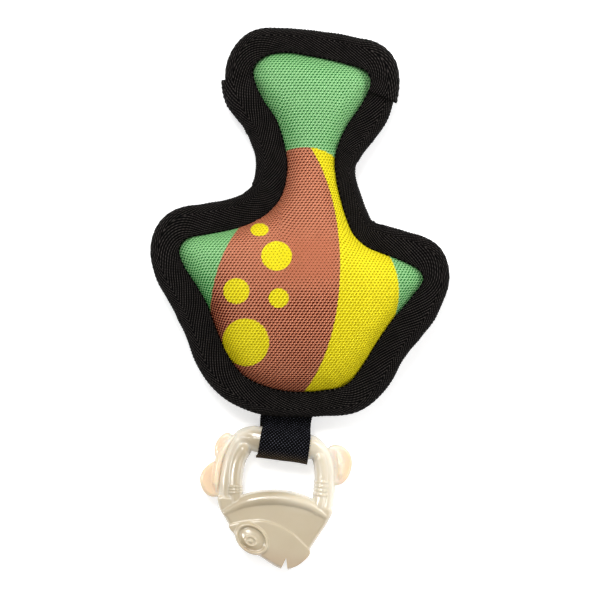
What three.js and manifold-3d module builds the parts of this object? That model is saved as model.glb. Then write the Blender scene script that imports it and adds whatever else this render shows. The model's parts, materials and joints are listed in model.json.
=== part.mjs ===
// A squeaky dog toy: a stuffed cloth fish with a bound edge, and a chew ring on a webbing tab.
// It lies on its back: X runs across the fins, Y towards the tail and Z up, out of the printed
// front. Every length is in millimetres. The pieces are placed from the middle of the waist, and
// at the end the toy is moved so that its origin is the middle of its footprint on the table.
import * as THREE from "three";
import { mergeVertices } from "three/addons/utils/BufferGeometryUtils.js";
import Module from "manifold-3d";

const wasm = await Module();
wasm.setup();

// Driving sizes of the cloth body
const tailWidth = 59; // cloth seen across the tail
const tailLength = 49.5; // from the waist to the end of the tail
const finSpan = 121; // cloth seen across both side fins
const bodyLength = 119.5; // from the waist to the blunt head end
const frontCrown = 20; // how far the stuffed front swells
const backCrown = 17; // how far the stuffed back swells
const clothThickness = 0.8;
const clearance = 0.3; // left between pieces that touch on the real toy
const fillClearance = 0.5; // left between the filling and the cloth round it
const restDepth = 0.5; // how deep the table presses the back flat

// Driving sizes of the edge tape
const bindingWidth = 14.5; // one face of the folded tape
const tapeThickness = 1.6;
const tapeClearance = 0.45; // left between the tape and the cloth it is folded over
const flangeReach = 11.5; // how far the cloth runs inside the fold
const flareHeight = 1; // the tape's inner edge is lifted by the swelling cloth
const flareLength = 3;
const overlapLength = 8; // where the tail's tape covers the ends of the body's tape
const overlapRamp = 4; // over which the covering tape comes down again

// Driving sizes of the webbing tab
const webbingWidth = 25;
const webbingThickness = 1.35;
const tabOffCentre = 13.25; // from the waist's middle, towards the left
const barBelowHead = 14.9; // from the bound head end to the middle of the ring's bar
const foldReach = 11; // from the bar to the line on which the tab folds
const anchorLength = 11; // sewn to the back of the binding
const tabTilt = THREE.MathUtils.degToRad(-8);

// Driving sizes of the chew ring
const ringWidth = 58.6;
const ringDrop = 62.3; // from the middle of the bar to the tip of the jaws
const ringThickness = 12.6;
const ringRounding = 3;
const barDiameter = 14;
const archWidth = 8.8;
const archThickness = 16;
const faceLift = 0.8; // the raised face over the head
const eyeLength = 18.6;
const eyeWidth = 13.6;
const eyeRimDrop = 0.5; // the eye's rim below the top of its dome
const eyeMoatDrop = 1.1; // the groove round the dome
const barShoulder = 2.5; // where the bar's ends flare out to the arms
const nubThickness = 5;
const nubRounding = 1.2;

// Driving sizes of the squeaker
const squeakerDiameter = 44;
const squeakerHeight = 22;
const plateThickness = 2; // thickness of its base and cap
const wallThickness = plateThickness / 2; // of the bellows, and the lip round the plates
const bellowsFoldDepth = 3.5;
const reedDiameter = 11.4;
const reedLength = 8;
const reedWall = 1.5;
const reedLeaf = 0.35;

// Points of the cloth's visible edge, from the waist's middle, counter-clockwise. Tail: x as shares
// of tailWidth and y of tailLength. Body: x as shares of finSpan and y of bodyLength. The third
// value is how much of bindingWidth shows there: the tape leans with the cloth at the neck, and is
// drawn in where it is stretched round the tail and the head.
const headReachShare = 0.8;
const tailShares = [
  [0.288, 0.242, 0.94],
  [0.424, 0.485, 0.96],
  [0.5, 0.707, 0.81],
  [0.466, 0.808, 0.9],
  [0.263, 0.894, 0.9],
  [-0.008, 0.965, 0.82],
  [-0.237, 1, 0.78],
  [-0.398, 0.955, 0.93],
  [-0.483, 0.848, 0.87],
  [-0.47, 0.707, 0.97],
  [-0.398, 0.525, 1],
  [-0.288, 0.323, 1.03],
];
const bodyShares = [
  [-0.099, -0.017, 0.98],
  [-0.101, -0.117, 1.01],
  [-0.128, -0.201, 0.97],
  [-0.194, -0.272, 0.97],
  [-0.302, -0.322, 0.97],
  [-0.43, -0.347, 0.98],
  [-0.517, -0.368, 1],
  [-0.541, -0.41, 0.93],
  [-0.525, -0.469, 0.98],
  [-0.471, -0.556, 1.03],
  [-0.426, -0.636, 1.05],
  [-0.388, -0.741, 0.99],
  [-0.343, -0.845, 1.03],
  [-0.285, -0.925, 0.97],
  [-0.202, -0.973, 0.91],
  [-0.087, -1, headReachShare],
  [0.045, -0.996, headReachShare],
  [0.145, -0.971, 0.95],
  [0.202, -0.904, 1.06],
  [0.264, -0.803, 1],
  [0.331, -0.703, 1.06],
  [0.405, -0.615, 1.02],
  [0.459, -0.531, 0.84],
  [0.442, -0.494, 0.99],
  [0.351, -0.448, 0.94],
  [0.24, -0.406, 0.9],
  [0.178, -0.356, 0.83],
  [0.145, -0.285, 0.74],
  [0.12, -0.201, 0.64],
  [0.101, -0.109, 0.59],
  [0.097, -0.017, 0.74],
];

// Where along the toy each stretch of edge looks for the middle, as shares of the same lengths
const bodySpineShares = [
  [0, 0],
  [0.2, 0.226],
  [0.37, 0.435],
  [0.47, 0.485],
  [0.55, 0.527],
  [0.74, 0.661],
  [1, 0.82],
];
const tailSpineShares = [
  [0, 0],
  [0.3, 0.22],
  [0.7, 0.42],
  [1, 0.62],
];
const spineDriftShare = 0.03; // how far the middle leans left at the head end, of finSpan

// The seam between front and back lies lower at the tail and at the head than at the belly
const bellySeamShare = 0.4; // of bodyLength below the waist, where the seam starts to sink
const tailSeamShare = 0.35; // of tailLength above the waist, where it is at its lowest
const headSeamShare = 0.72; // of bodyLength below the waist, where it sinks again
const tailRestShare = 0.6; // of tailLength above the waist, where the tail lies on the table

// Steps of the meshes
const rimSteps = 74;
const turnShare = 1; // how much the steps close up where the edge turns
const fineSteps = 1500;
const clothRingShares = [0.05, 0.13, 0.27, 0.5, 0.86];
const fillFootShare = 0.08;
const filmCell = 2;
const filmSweepCount = 260;
const filmHurryShare = 1.85; // how far each sweep overshoots, under 2
const filmPowerShare = 0.45; // makes the film as full as stuffed cloth
const filmMargin = 4; // nearer the edge than this the film is taken as a power curve
const noseSteps = 6;
const latheSteps = 28;
const loopSteps = 16;
const archSteps = 12;
const ringSteps = 52;
const openingSteps = 30;
const nubSteps = 26;
const eyeSteps = 20;
const roundSteps = 2;

// Sizes that follow from the ones above
const flangeTop = clearance / 2 + clothThickness;
const legInner = flangeTop + tapeClearance;
const legOuter = legInner + tapeThickness;
const overlapGrowth = tapeThickness + tapeClearance;
const loopInner = barDiameter / 2 + clearance;
const loopOuter = loopInner + webbingThickness;
const headSeam = loopOuter + webbingThickness + clearance + legOuter;

// The finish of each kind of piece
function finish(color, roughness) {
  return new THREE.MeshStandardMaterial({ color, roughness, metalness: 0 });
}
const printedCloth = finish(0xb5604a, 0.8);
const backCloth = finish(0x79c47c, 0.8);
const edgeTape = finish(0x1d1c1b, 0.85);
const webbing = finish(0x232221, 0.85);
const hardPlastic = finish(0xe6d7c3, 0.3);
const softPlastic = finish(0xf7dfc2, 0.4);
const fibre = finish(0xf1efe9, 0.95);
const clearPlastic = finish(0xdfe6ea, 0.35);
const reedPlastic = finish(0xcfd3d6, 0.4);

const toy = new THREE.Group();

function addPiece(name, geometry, material, holder = toy) {
  const mesh = new THREE.Mesh(geometry, material);
  mesh.name = name;
  holder.add(mesh);
  return mesh;
}

// The same surface with its shared corners merged
function weld(geometry) {
  const bare = geometry.clone();
  bare.deleteAttribute("normal");
  bare.deleteAttribute("uv");
  return mergeVertices(bare);
}

// A closed geometry turned into a solid for joins and cuts, and back
function toSolid(geometry) {
  const welded = weld(geometry);
  const vertProperties = welded.attributes.position.array;
  const triVerts = new Uint32Array(welded.index.array);
  return new wasm.Manifold(new wasm.Mesh({ numProp: 3, vertProperties, triVerts }));
}

function toGeometry(solid) {
  const mesh = solid.getMesh();
  const geometry = new THREE.BufferGeometry();
  geometry.setAttribute("position", new THREE.BufferAttribute(mesh.vertProperties, 3));
  geometry.setIndex(new THREE.BufferAttribute(mesh.triVerts, 1));
  geometry.computeVertexNormals();
  return geometry;
}

// Six times the volume that the faces enclose: negative when they point inwards
function signedVolume(points, faces) {
  const cross = new THREE.Vector3();
  let sum = 0;
  for (let i = 0; i < faces.length; i += 3) {
    cross.crossVectors(points[faces[i]], points[faces[i + 1]]);
    sum += cross.dot(points[faces[i + 2]]);
  }
  return sum;
}

// Facets that close a ring whose flat outline is given, each running the way the ring does
function flatFacets(outline) {
  const runsAlong = THREE.ShapeUtils.area(outline) > 0;
  const facets = THREE.ShapeUtils.triangulateShape(outline, []);
  return runsAlong ? facets : facets.map(([a, b, c]) => [a, c, b]);
}

// Facets that close a long ring like a zip, from its far end down one axis, each as short as it can be
function zipFacets(ring, axis = "y") {
  const count = ring.length;
  const at = (i) => ring[((i % count) + count) % count];
  let down = ring.reduce((top, point, i) => (point[axis] > ring[top][axis] ? i : top), 0);
  let up = down - 1;
  const facets = [];
  while (facets.length < count - 2) {
    if (at(down + 1).distanceTo(at(up)) < at(down).distanceTo(at(up - 1))) {
      facets.push([down, down + 1, up]);
      down += 1;
    } else {
      facets.push([down, up - 1, up]);
      up -= 1;
    }
  }
  return facets.map((facet) => facet.map((i) => ((i % count) + count) % count));
}

// A closed skin through rings of equally many points, with facets over both end rings
function loft(rings, facetsOf = flatFacets) {
  const count = rings[0].length;
  const points = rings.flat();
  const faces = [];
  for (let ring = 0; ring + 1 < rings.length; ring++) {
    for (let i = 0; i < count; i++) {
      const a = ring * count + i;
      const b = ring * count + ((i + 1) % count);
      faces.push(a, b, b + count, a, b + count, a + count);
    }
  }
  const last = points.length - count;
  for (const [a, b, c] of facetsOf(rings.at(0))) faces.push(a, c, b);
  for (const [a, b, c] of facetsOf(rings.at(-1))) faces.push(last + a, last + b, last + c);
  if (signedVolume(points, faces) < 0) faces.reverse();
  const geometry = new THREE.BufferGeometry();
  const numbers = points.flatMap((point) => point.toArray());
  geometry.setAttribute("position", new THREE.Float32BufferAttribute(numbers, 3));
  geometry.setIndex(faces);
  geometry.computeVertexNormals();
  return geometry;
}

// Hand-chosen shares made real: x along one size and y along another. A third value stays a share.
function spread(shares, sizeX, sizeY) {
  return shares.map(([x, y, z = 0]) => new THREE.Vector3(x * sizeX, y * sizeY, z));
}

// Places spread round a closed curve, closer where it turns, each with its outward direction
function walkRound(points, count) {
  const curve = new THREE.CatmullRomCurve3(points, true, "centripetal");
  const fine = [];
  for (let i = 0; i < fineSteps; i++) {
    const tangent = curve.getTangent(i / fineSteps).setZ(0).normalize();
    fine.push({ point: curve.getPoint(i / fineSteps), tangent });
  }
  const strides = fine.map((here, i) => here.point.distanceTo(fine[(i + 1) % fineSteps].point));
  const turns = fine.map((here, i) => here.tangent.angleTo(fine[(i + 1) % fineSteps].tangent));
  const total = (list) => list.reduce((sum, value) => sum + value, 0);
  const length = total(strides);
  const turn = total(turns);
  const effort = (i) => strides[i] / length + (turnShare * turns[i]) / turn;
  const share = (1 + turnShare) / count;
  const side = Math.sign(THREE.ShapeUtils.area(points));
  const places = [];
  let spent = 0;
  for (let i = 0; i < fineSteps && places.length < count; i++) {
    if (spent + effort(i) > places.length * share) {
      const { point, tangent } = fine[i];
      const outward = new THREE.Vector3(tangent.y, -tangent.x, 0).multiplyScalar(side);
      places.push({ point, outward });
    }
    spent += effort(i);
  }
  return places;
}

function alongTable(table, value) {
  const next = Math.max(1, table.findIndex(([key]) => key >= value));
  const [lowKey, low] = table[next - 1];
  const [highKey, high] = table[next];
  return THREE.MathUtils.mapLinear(value, lowKey, highKey, low, high);
}

// The cloth's edge, and the place in the middle that each stretch of it looks to
const rim = walkRound(
  [...spread(tailShares, tailWidth, tailLength), ...spread(bodyShares, finSpan, bodyLength)],
  rimSteps,
);
for (const place of rim) {
  place.reach = place.point.z;
  place.point.z = 0;
  const { y } = place.point;
  const middleY =
    y > 0
      ? tailLength * alongTable(tailSpineShares, Math.min(1, y / tailLength))
      : -bodyLength * alongTable(bodySpineShares, Math.min(1, -y / bodyLength));
  const lean = Math.min(0, middleY / bodyLength) * spineDriftShare * finSpan;
  place.middle = new THREE.Vector3(lean, middleY, 0);
}

function isInside(x, y) {
  let inside = false;
  rim.forEach(({ point: a }, i) => {
    const b = rim[(i + 1) % rim.length].point;
    if (a.y > y !== b.y > y && x < THREE.MathUtils.mapLinear(y, a.y, b.y, a.x, b.x)) inside = !inside;
  });
  return inside;
}

// Stuffing swells cloth as air swells a soap film on the same edge, so the film is worked out on
// a grid of small cells, each drawn to the mean of its neighbours and pushed up a little.
const filmBox = new THREE.Box3();
filmBox.setFromPoints(rim.map((place) => place.point)).expandByScalar(filmCell);
const filmColumns = Math.ceil((filmBox.max.x - filmBox.min.x) / filmCell) + 1;
const filmRows = Math.ceil((filmBox.max.y - filmBox.min.y) / filmCell) + 1;
const film = new Float64Array(filmColumns * filmRows);
const filmInside = [];
for (let row = 1; row < filmRows - 1; row++) {
  for (let column = 1; column < filmColumns - 1; column++) {
    const x = filmBox.min.x + column * filmCell;
    const y = filmBox.min.y + row * filmCell;
    if (isInside(x, y)) filmInside.push(row * filmColumns + column);
  }
}
for (let sweep = 0; sweep < filmSweepCount; sweep++) {
  for (const cell of filmInside) {
    const around = film[cell - 1] + film[cell + 1] + film[cell - filmColumns] + film[cell + filmColumns];
    film[cell] += filmHurryShare * ((around + 1) / 4 - film[cell]);
  }
}
const filmTop = film.reduce((top, value) => Math.max(top, value));

// The share of the full crown that the cloth reaches at a point
function swell(point) {
  const u = (point.x - filmBox.min.x) / filmCell;
  const v = (point.y - filmBox.min.y) / filmCell;
  const column = Math.floor(u);
  const row = Math.floor(v);
  const at = (c, r) => film[(row + r) * filmColumns + column + c];
  const low = THREE.MathUtils.lerp(at(0, 0), at(1, 0), u - column);
  const high = THREE.MathUtils.lerp(at(0, 1), at(1, 1), u - column);
  return (THREE.MathUtils.lerp(low, high, v - row) / filmTop) ** filmPowerShare;
}

// How high the seam lies: the belly, the tail and the webbing loop all reach the table
const tailMiddle = new THREE.Vector3(0, tailLength * tailRestShare, 0);
const bellySeam = flangeTop + flareHeight + backCrown - restDepth;
const tailSeam = flangeTop + flareHeight + backCrown * swell(tailMiddle) - restDepth;
function seamHeight(y) {
  const { smoothstep } = THREE.MathUtils;
  const towardsTail = smoothstep(y, -bodyLength * bellySeamShare, tailLength * tailSeamShare);
  const towardsHead = smoothstep(-y, bodyLength * headSeamShare, bodyLength);
  return bellySeam - (bellySeam - tailSeam) * towardsTail - (bellySeam - headSeam) * towardsHead;
}

// A point of the bound edge: outwards from the cloth's edge, and up from the seam
function edgePoint(place, outwards, up) {
  const point = place.point.clone().addScaledVector(place.outward, outwards * place.reach);
  point.z = seamHeight(point.y) + up;
  return point;
}

// A point of the swelling cloth, a share of the way from the edge to the middle
function clothPoint(place, share, crown, side) {
  const span = place.point.distanceTo(place.middle);
  const sure = Math.max(share, Math.min(1, filmMargin / span));
  const point = place.point.clone().lerp(place.middle, share);
  const swelling = swell(place.point.clone().lerp(place.middle, sure));
  const height = crown * swelling * (share / sure) ** filmPowerShare;
  point.z = seamHeight(point.y) + side * (flangeTop + flareHeight + height);
  return point;
}

const flangeStops = [
  [flangeReach, 0],
  [flareLength, 0],
  [0, flareHeight],
];
function clothRings(crown, side) {
  const flange = flangeStops.map(([out, lift]) =>
    rim.map((place) => edgePoint(place, out, side * (flangeTop + lift))),
  );
  const cloth = clothRingShares.map((share) => rim.map((place) => clothPoint(place, share, crown, side)));
  return [...flange, ...cloth];
}

// The same rings moved into the toy by a depth, square to the surface
function sink(rings, depth, side) {
  const count = rings[0].length;
  return rings.map((ring, r) =>
    ring.map((point, i) => {
      const before = rings[Math.max(0, r - 1)][i];
      const after = rings[Math.min(rings.length - 1, r + 1)][i];
      const left = ring[(i + count - 1) % count];
      const right = ring[(i + 1) % count];
      const across = new THREE.Vector3().subVectors(after, before);
      const along = new THREE.Vector3().subVectors(right, left);
      const inwards = across.cross(along).normalize();
      if (inwards.z * side > 0) inwards.negate();
      return point.clone().addScaledVector(inwards, depth);
    }),
  );
}

// The table presses flat what would reach below it
function pressFlat(geometry) {
  const box = new THREE.Box3().setFromObject(new THREE.Mesh(geometry));
  const size = box.getSize(new THREE.Vector3());
  const slab = new THREE.BoxGeometry(2 * size.x, 2 * size.y, size.z);
  slab.translate(0, box.getCenter(new THREE.Vector3()).y, -size.z / 2);
  return toGeometry(toSolid(geometry).subtract(toSolid(slab)));
}

function liftTo(rings, floor) {
  for (const point of rings.flat()) point.z = Math.max(point.z, floor);
}

const frontRings = clothRings(frontCrown, 1);
const frontInner = sink(frontRings, clothThickness, 1);
addPiece("front_panel", loft([...frontInner.reverse(), ...frontRings], zipFacets), printedCloth);

const backRings = clothRings(backCrown, -1);
const backInner = sink(backRings, clothThickness, -1);
liftTo(backInner, clothThickness);
addPiece("back_panel", pressFlat(loft([...backInner.reverse(), ...backRings], zipFacets)), backCloth);

// The edge tape, folded over the flange of both panels. Its section is drawn outwards from the
// cloth's edge and up from the seam, and grows where it covers another layer of tape.
function tapeSection(growth) {
  const inner = legInner + growth;
  const outer = legOuter + growth;
  const noseStart = bindingWidth - legOuter;
  const covered = THREE.MathUtils.mapLinear(growth, 0, overlapGrowth, flangeReach, bindingWidth);
  const foldDepth = covered + clearance;
  const section = [
    new THREE.Vector2(clearance, outer + flareHeight),
    new THREE.Vector2(flareLength, outer),
  ];
  for (let i = 0; i <= noseSteps; i++) {
    const angle = Math.PI * (1 / 2 - i / noseSteps);
    section.push(new THREE.Vector2(noseStart + outer * Math.cos(angle), outer * Math.sin(angle)));
  }
  section.push(
    new THREE.Vector2(flareLength, -outer),
    new THREE.Vector2(clearance, -outer - flareHeight),
    new THREE.Vector2(clearance, -inner - flareHeight),
    new THREE.Vector2(flareLength, -inner),
    new THREE.Vector2(foldDepth, -inner),
    new THREE.Vector2(foldDepth, inner),
    new THREE.Vector2(flareLength, inner),
    new THREE.Vector2(clearance, inner + flareHeight),
  );
  return section;
}

// Lengths along the cloth's edge, so that a strip can start and end between two places
let rimLength = 0;
for (const [i, place] of rim.entries()) {
  place.start = rimLength;
  rimLength += place.point.distanceTo(rim[(i + 1) % rim.length].point);
}

function placeAt(length) {
  const wrapped = THREE.MathUtils.euclideanModulo(length, rimLength);
  const index = rim.findLastIndex((place) => place.start <= wrapped);
  const here = rim[index];
  const next = rim[(index + 1) % rim.length];
  const share = (wrapped - here.start) / here.point.distanceTo(next.point);
  return {
    point: here.point.clone().lerp(next.point, share),
    outward: here.outward.clone().lerp(next.outward, share),
    reach: THREE.MathUtils.lerp(here.reach, next.reach, share),
  };
}

function tapeStrip(start, end, growthAt, extraStops) {
  const stops = [start, end, ...extraStops];
  for (const turn of [0, 1]) {
    for (const place of rim) {
      const stop = place.start + turn * rimLength;
      if (stop > start && stop < end) stops.push(stop);
    }
  }
  stops.sort((a, b) => a - b);
  const distinct = stops.filter((stop, i) => i === 0 || stop - stops[i - 1] > clearance);
  const rings = distinct.map((stop) => {
    const place = placeAt(stop);
    return tapeSection(growthAt(stop)).map((p) => edgePoint(place, p.x, p.y));
  });
  return loft(rings, () => flatFacets(tapeSection(0)));
}

// Two strips go round the edge, each starting on top of the other's end
function coveringStrip(start, end) {
  const rampStart = start + overlapLength + clearance;
  const rampEnd = rampStart + overlapRamp;
  const { clamp, mapLinear } = THREE.MathUtils;
  const growthAt = (length) =>
    mapLinear(clamp(length, rampStart, rampEnd), rampStart, rampEnd, overlapGrowth, 0);
  return tapeStrip(start, end, growthAt, [rampStart, rampEnd]);
}

const tailStartShare = 0.043; // of the edge's length, counted from the right of the waist up
const bodyStartShare = 0.188;
const tailStart = rimLength * tailStartShare;
const bodyStart = rimLength * bodyStartShare;
const bodyTape = coveringStrip(bodyStart, rimLength + tailStart + overlapLength);
const tailTape = coveringStrip(tailStart, bodyStart + overlapLength);
addPiece("body_binding", bodyTape, edgeTape);
addPiece("tail_binding", tailTape, edgeTape);

// The filling, a wad of fibre behind each panel, with a pocket for the squeaker between them
const squeakerShareX = -0.03; // of finSpan
const squeakerShareY = -0.535; // of bodyLength
const squeakerX = finSpan * squeakerShareX;
const squeakerY = bodyLength * squeakerShareY;
const pocketRadius = (squeakerDiameter + 3 * clearance) / 2;
const pocketHeight = squeakerHeight + 2 * clearance;
const pocket = new THREE.CylinderGeometry(pocketRadius, pocketRadius, pocketHeight, latheSteps);
pocket.rotateX(Math.PI / 2).translate(squeakerX, squeakerY, bellySeam);

function fillGeometry(crown, side) {
  const rings = sink(clothRings(crown, side), clothThickness + fillClearance, side);
  const outer = rings.slice(flangeStops.length);
  if (side < 0) liftTo(outer, clothThickness + fillClearance);
  const foot = rim.map((place) => {
    const point = place.point.clone().lerp(place.middle, fillFootShare);
    point.z = seamHeight(point.y) + (side * clearance) / 2;
    return point;
  });
  return toGeometry(toSolid(loft([foot, ...outer], zipFacets)).subtract(toSolid(pocket)));
}
addPiece("front_fill", fillGeometry(frontCrown, 1), fibre);
addPiece("back_fill", fillGeometry(backCrown, -1), fibre);

// The squeaker: a bellows between a base and a cap, with a reed pressed into the base
const squeaker = new THREE.Group();
squeaker.position.set(squeakerX, squeakerY, bellySeam);
toy.add(squeaker);

// A ring or disc turned about Z from points of radius and height, its faces pointing out
function turned(profile, steps = latheSteps) {
  const points = profile.map(([radius, height]) => new THREE.Vector2(radius, height));
  const welded = weld(new THREE.LatheGeometry(points, steps).rotateX(Math.PI / 2));
  const { position } = welded.attributes;
  const corners = [];
  for (let i = 0; i < position.count; i++) {
    corners.push(new THREE.Vector3().fromBufferAttribute(position, i));
  }
  const faces = [...welded.index.array];
  if (signedVolume(corners, faces) < 0) faces.reverse();
  welded.setIndex(faces);
  welded.computeVertexNormals();
  return welded;
}

const squeakerRadius = squeakerDiameter / 2;
const plateInner = squeakerHeight / 2 - plateThickness;
const reedSeat = reedDiameter / 2 + clearance;
const bossRadius = reedSeat + plateThickness;
addPiece(
  "squeaker_base",
  turned([
    [reedSeat, -squeakerHeight / 2],
    [squeakerRadius - wallThickness, -squeakerHeight / 2],
    [squeakerRadius, -squeakerHeight / 2 + wallThickness],
    [squeakerRadius, -plateInner],
    [bossRadius, -plateInner],
    [bossRadius, -plateInner + plateThickness],
    [reedSeat, -plateInner + plateThickness],
    [reedSeat, -squeakerHeight / 2],
  ]),
  clearPlastic,
  squeaker,
);
addPiece(
  "squeaker_cap",
  turned([
    [0, plateInner],
    [squeakerRadius, plateInner],
    [squeakerRadius, squeakerHeight / 2 - wallThickness],
    [squeakerRadius - wallThickness, squeakerHeight / 2],
    [0, squeakerHeight / 2],
  ]),
  clearPlastic,
  squeaker,
);

const bellowsFoldCount = 3;
const bellowsEnd = plateInner - clearance;
const bellowsOuter = [];
const bellowsInner = [];
for (let i = 0; i <= 2 * bellowsFoldCount; i++) {
  const height = THREE.MathUtils.mapLinear(i, 0, 2 * bellowsFoldCount, -bellowsEnd, bellowsEnd);
  const radius = squeakerRadius - (i % 2 === 0 ? 0 : bellowsFoldDepth);
  bellowsOuter.push([radius, height]);
  bellowsInner.unshift([radius - wallThickness, height]);
}
addPiece(
  "squeaker_bellows",
  turned([...bellowsOuter, ...bellowsInner, bellowsOuter[0]]),
  clearPlastic,
  squeaker,
);

const reedRadius = reedDiameter / 2;
const reedFoot = -squeakerHeight / 2;
const reedBore = reedRadius - reedWall;
addPiece(
  "reed_housing",
  turned([
    [reedBore, reedFoot],
    [reedRadius, reedFoot],
    [reedRadius, reedFoot + reedLength],
    [reedBore, reedFoot + reedLength],
    [reedBore, reedFoot],
  ]),
  reedPlastic,
  squeaker,
);

// The reed block is a half round with a trough, and the reed lies across the trough
const blockRadius = reedBore - clearance;
const blockFace = -reedLeaf;
const troughWidth = 3.2;
const troughDepth = 1.4;
const blockShape = new THREE.Shape();
blockShape.absarc(0, blockFace, blockRadius + blockFace, Math.PI, 2 * Math.PI);
blockShape.lineTo(troughWidth / 2, blockFace);
blockShape.lineTo(troughWidth / 2, blockFace - troughDepth);
blockShape.lineTo(-troughWidth / 2, blockFace - troughDepth);
blockShape.lineTo(-troughWidth / 2, blockFace);
const block = new THREE.ExtrudeGeometry(blockShape, { depth: reedLength, bevelEnabled: false });
block.translate(0, 0, reedFoot);
addPiece("reed_block", block, reedPlastic, squeaker);

const reedWidth = 4.6;
const reed = new THREE.BoxGeometry(reedWidth, reedLeaf, reedLength - clearance);
reed.translate(0, blockFace + clearance + reedLeaf / 2, reedFoot + reedLength / 2);
addPiece("reed", reed, clearPlastic, squeaker);

// The tab and the ring hang from a line across the head end that is tilted a little
const hanger = new THREE.Group();
const headEdge = bodyLength + bindingWidth * headReachShare;
hanger.position.set(-tabOffCentre, -(headEdge + barBelowHead), loopOuter);
hanger.rotation.z = tabTilt;
toy.add(hanger);

// A round at each end joined by its tangents, drawn with x towards the body and y up
function teardrop(shape, bigRadius, smallRadius, distance) {
  const angle = Math.acos((bigRadius - smallRadius) / distance);
  shape.absarc(0, 0, bigRadius, angle, 2 * Math.PI - angle, false);
  shape.absarc(distance, 0, smallRadius, -angle, angle, false);
  return shape;
}

// A side view of the webbing made as wide as the webbing is
function acrossWebbing(shape) {
  const strip = new THREE.ExtrudeGeometry(shape, {
    depth: webbingWidth,
    bevelEnabled: false,
    curveSegments: loopSteps,
  });
  return strip.rotateX(Math.PI / 2).rotateZ(Math.PI / 2).translate(-webbingWidth / 2, 0, 0);
}

const loopShape = teardrop(new THREE.Shape(), loopOuter, webbingThickness, foldReach);
const loopRootGap = 1.9; // from the fold to where the two layers part
const loopEye = teardrop(new THREE.Path(), loopInner, clearance, foldReach - loopRootGap);
loopShape.holes.push(loopEye);
addPiece("tab_loop", acrossWebbing(loopShape), webbing, hanger);

// The sewn ends of the webbing, on the back of the binding, thinned from below at the fold so that
// the loop can hang straight down
const anchorStart = foldReach + webbingThickness + 2 * clearance;
const anchorShape = new THREE.Shape();
anchorShape.moveTo(anchorStart, 0);
anchorShape.lineTo(anchorStart + webbingThickness, -webbingThickness);
anchorShape.lineTo(anchorStart + anchorLength, -webbingThickness);
anchorShape.lineTo(anchorStart + anchorLength, webbingThickness);
anchorShape.lineTo(anchorStart, webbingThickness);
addPiece("tab_anchor", acrossWebbing(anchorShape), webbing, hanger);

// The ring, drawn from the middle of its bar: x as shares of ringWidth, y of ringDrop
const ringShares = [
  [0.218, 0.112],
  [0.294, 0.087],
  [0.36, 0.023],
  [0.399, -0.077],
  [0.452, -0.265],
  [0.481, -0.39],
  [0.486, -0.498],
  [0.457, -0.57],
  [0.399, -0.685],
  [0.324, -0.833],
  [0.252, -0.945],
  [0.174, -0.998],
  [0.085, -0.99],
  [-0.063, -0.928],
  [-0.193, -0.876],
  [-0.304, -0.795],
  [-0.362, -0.721],
  [-0.415, -0.655],
  [-0.478, -0.578],
  [-0.512, -0.432],
  [-0.519, -0.279],
  [-0.49, -0.154],
  [-0.421, 0.02],
  [-0.333, 0.1],
  [-0.218, 0.12],
  [0, 0.112],
];
const openingShares = [
  [0.218, -0.112],
  [0.271, -0.143],
  [0.294, -0.212],
  [0.297, -0.31],
  [0.28, -0.39],
  [0.188, -0.372],
  [0.012, -0.375],
  [-0.15, -0.408],
  [-0.275, -0.45],
  [-0.305, -0.385],
  [-0.311, -0.268],
  [-0.292, -0.185],
  [-0.23, -0.128],
  [0, -0.112],
];
const archShares = [
  [-0.475, -0.615],
  [-0.4, -0.568],
  [-0.302, -0.526],
  [-0.128, -0.47],
  [0.034, -0.441],
  [0.213, -0.443],
  [0.341, -0.475],
  [0.42, -0.51],
  [0.475, -0.55],
];
const faceShares = [
  [-0.333, -0.705],
  [-0.22, -0.66],
  [-0.102, -0.634],
  [0.032, -0.647],
  [0.196, -0.713],
  [0.3, -0.8],
  [0.266, -0.87],
  [0.21, -0.94],
  [0.12, -0.96],
  [-0.05, -0.893],
  [-0.18, -0.842],
  [-0.275, -0.775],
];
const nubLeftShares = [
  [-0.44, -0.03],
  [-0.46, 0.016],
  [-0.503, 0.024],
  [-0.556, -0.016],
  [-0.587, -0.09],
  [-0.579, -0.16],
  [-0.562, -0.2],
  [-0.614, -0.244],
  [-0.666, -0.313],
  [-0.674, -0.385],
  [-0.631, -0.465],
  [-0.572, -0.501],
  [-0.512, -0.498],
  [-0.47, -0.47],
  [-0.468, -0.3],
  [-0.452, -0.16],
];
const nubRightShares = [
  [0.35, -0.03],
  [0.386, 0.032],
  [0.435, 0.051],
  [0.503, 0.04],
  [0.568, -0.01],
  [0.594, -0.083],
  [0.585, -0.169],
  [0.546, -0.241],
  [0.486, -0.273],
  [0.43, -0.262],
  [0.404, -0.22],
  [0.38, -0.12],
];
const archEndShare = 6; // the power that makes the arch draw in only near its ends
const eyeShareX = -0.173;
const eyeShareY = -0.788;
const eyeTilt = THREE.MathUtils.degToRad(-33);
const eyeRadiusShares = [1, 0.96, 0.89, 0.8, 0.7, 0.38]; // of half its length, from the head in
const mouthShares = [
  [0.148, -0.905],
  [0.108, -1.05],
  [0.19, -1.05],
];

function ringPlaces(shares, steps) {
  return walkRound(spread(shares, ringWidth, ringDrop), steps);
}

// A slab whose outline is moved outwards by given amounts at given heights, and the same below
function slab(places, stops) {
  const below = stops.map(([out, height]) => [out, -height]).reverse();
  const rings = [...stops, ...below].map(([out, height]) =>
    places.map(({ point, outward }) => {
      const moved = point.clone().addScaledVector(outward, out);
      moved.z = height;
      return moved;
    }),
  );
  return loft(rings, (ring) => zipFacets(ring, "x"));
}

// Stops that round an edge off over a quarter circle, from the face in: side 1 makes it wider at
// the face, as in an opening, and side -1 narrower
function roundedStops(face, rounding, side) {
  const stops = [];
  for (let i = 0; i <= roundSteps; i++) {
    const angle = (Math.PI * i) / (2 * roundSteps);
    stops.push([side * rounding * (1 - Math.sin(angle)), face - rounding * (1 - Math.cos(angle))]);
  }
  return stops;
}

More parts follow.
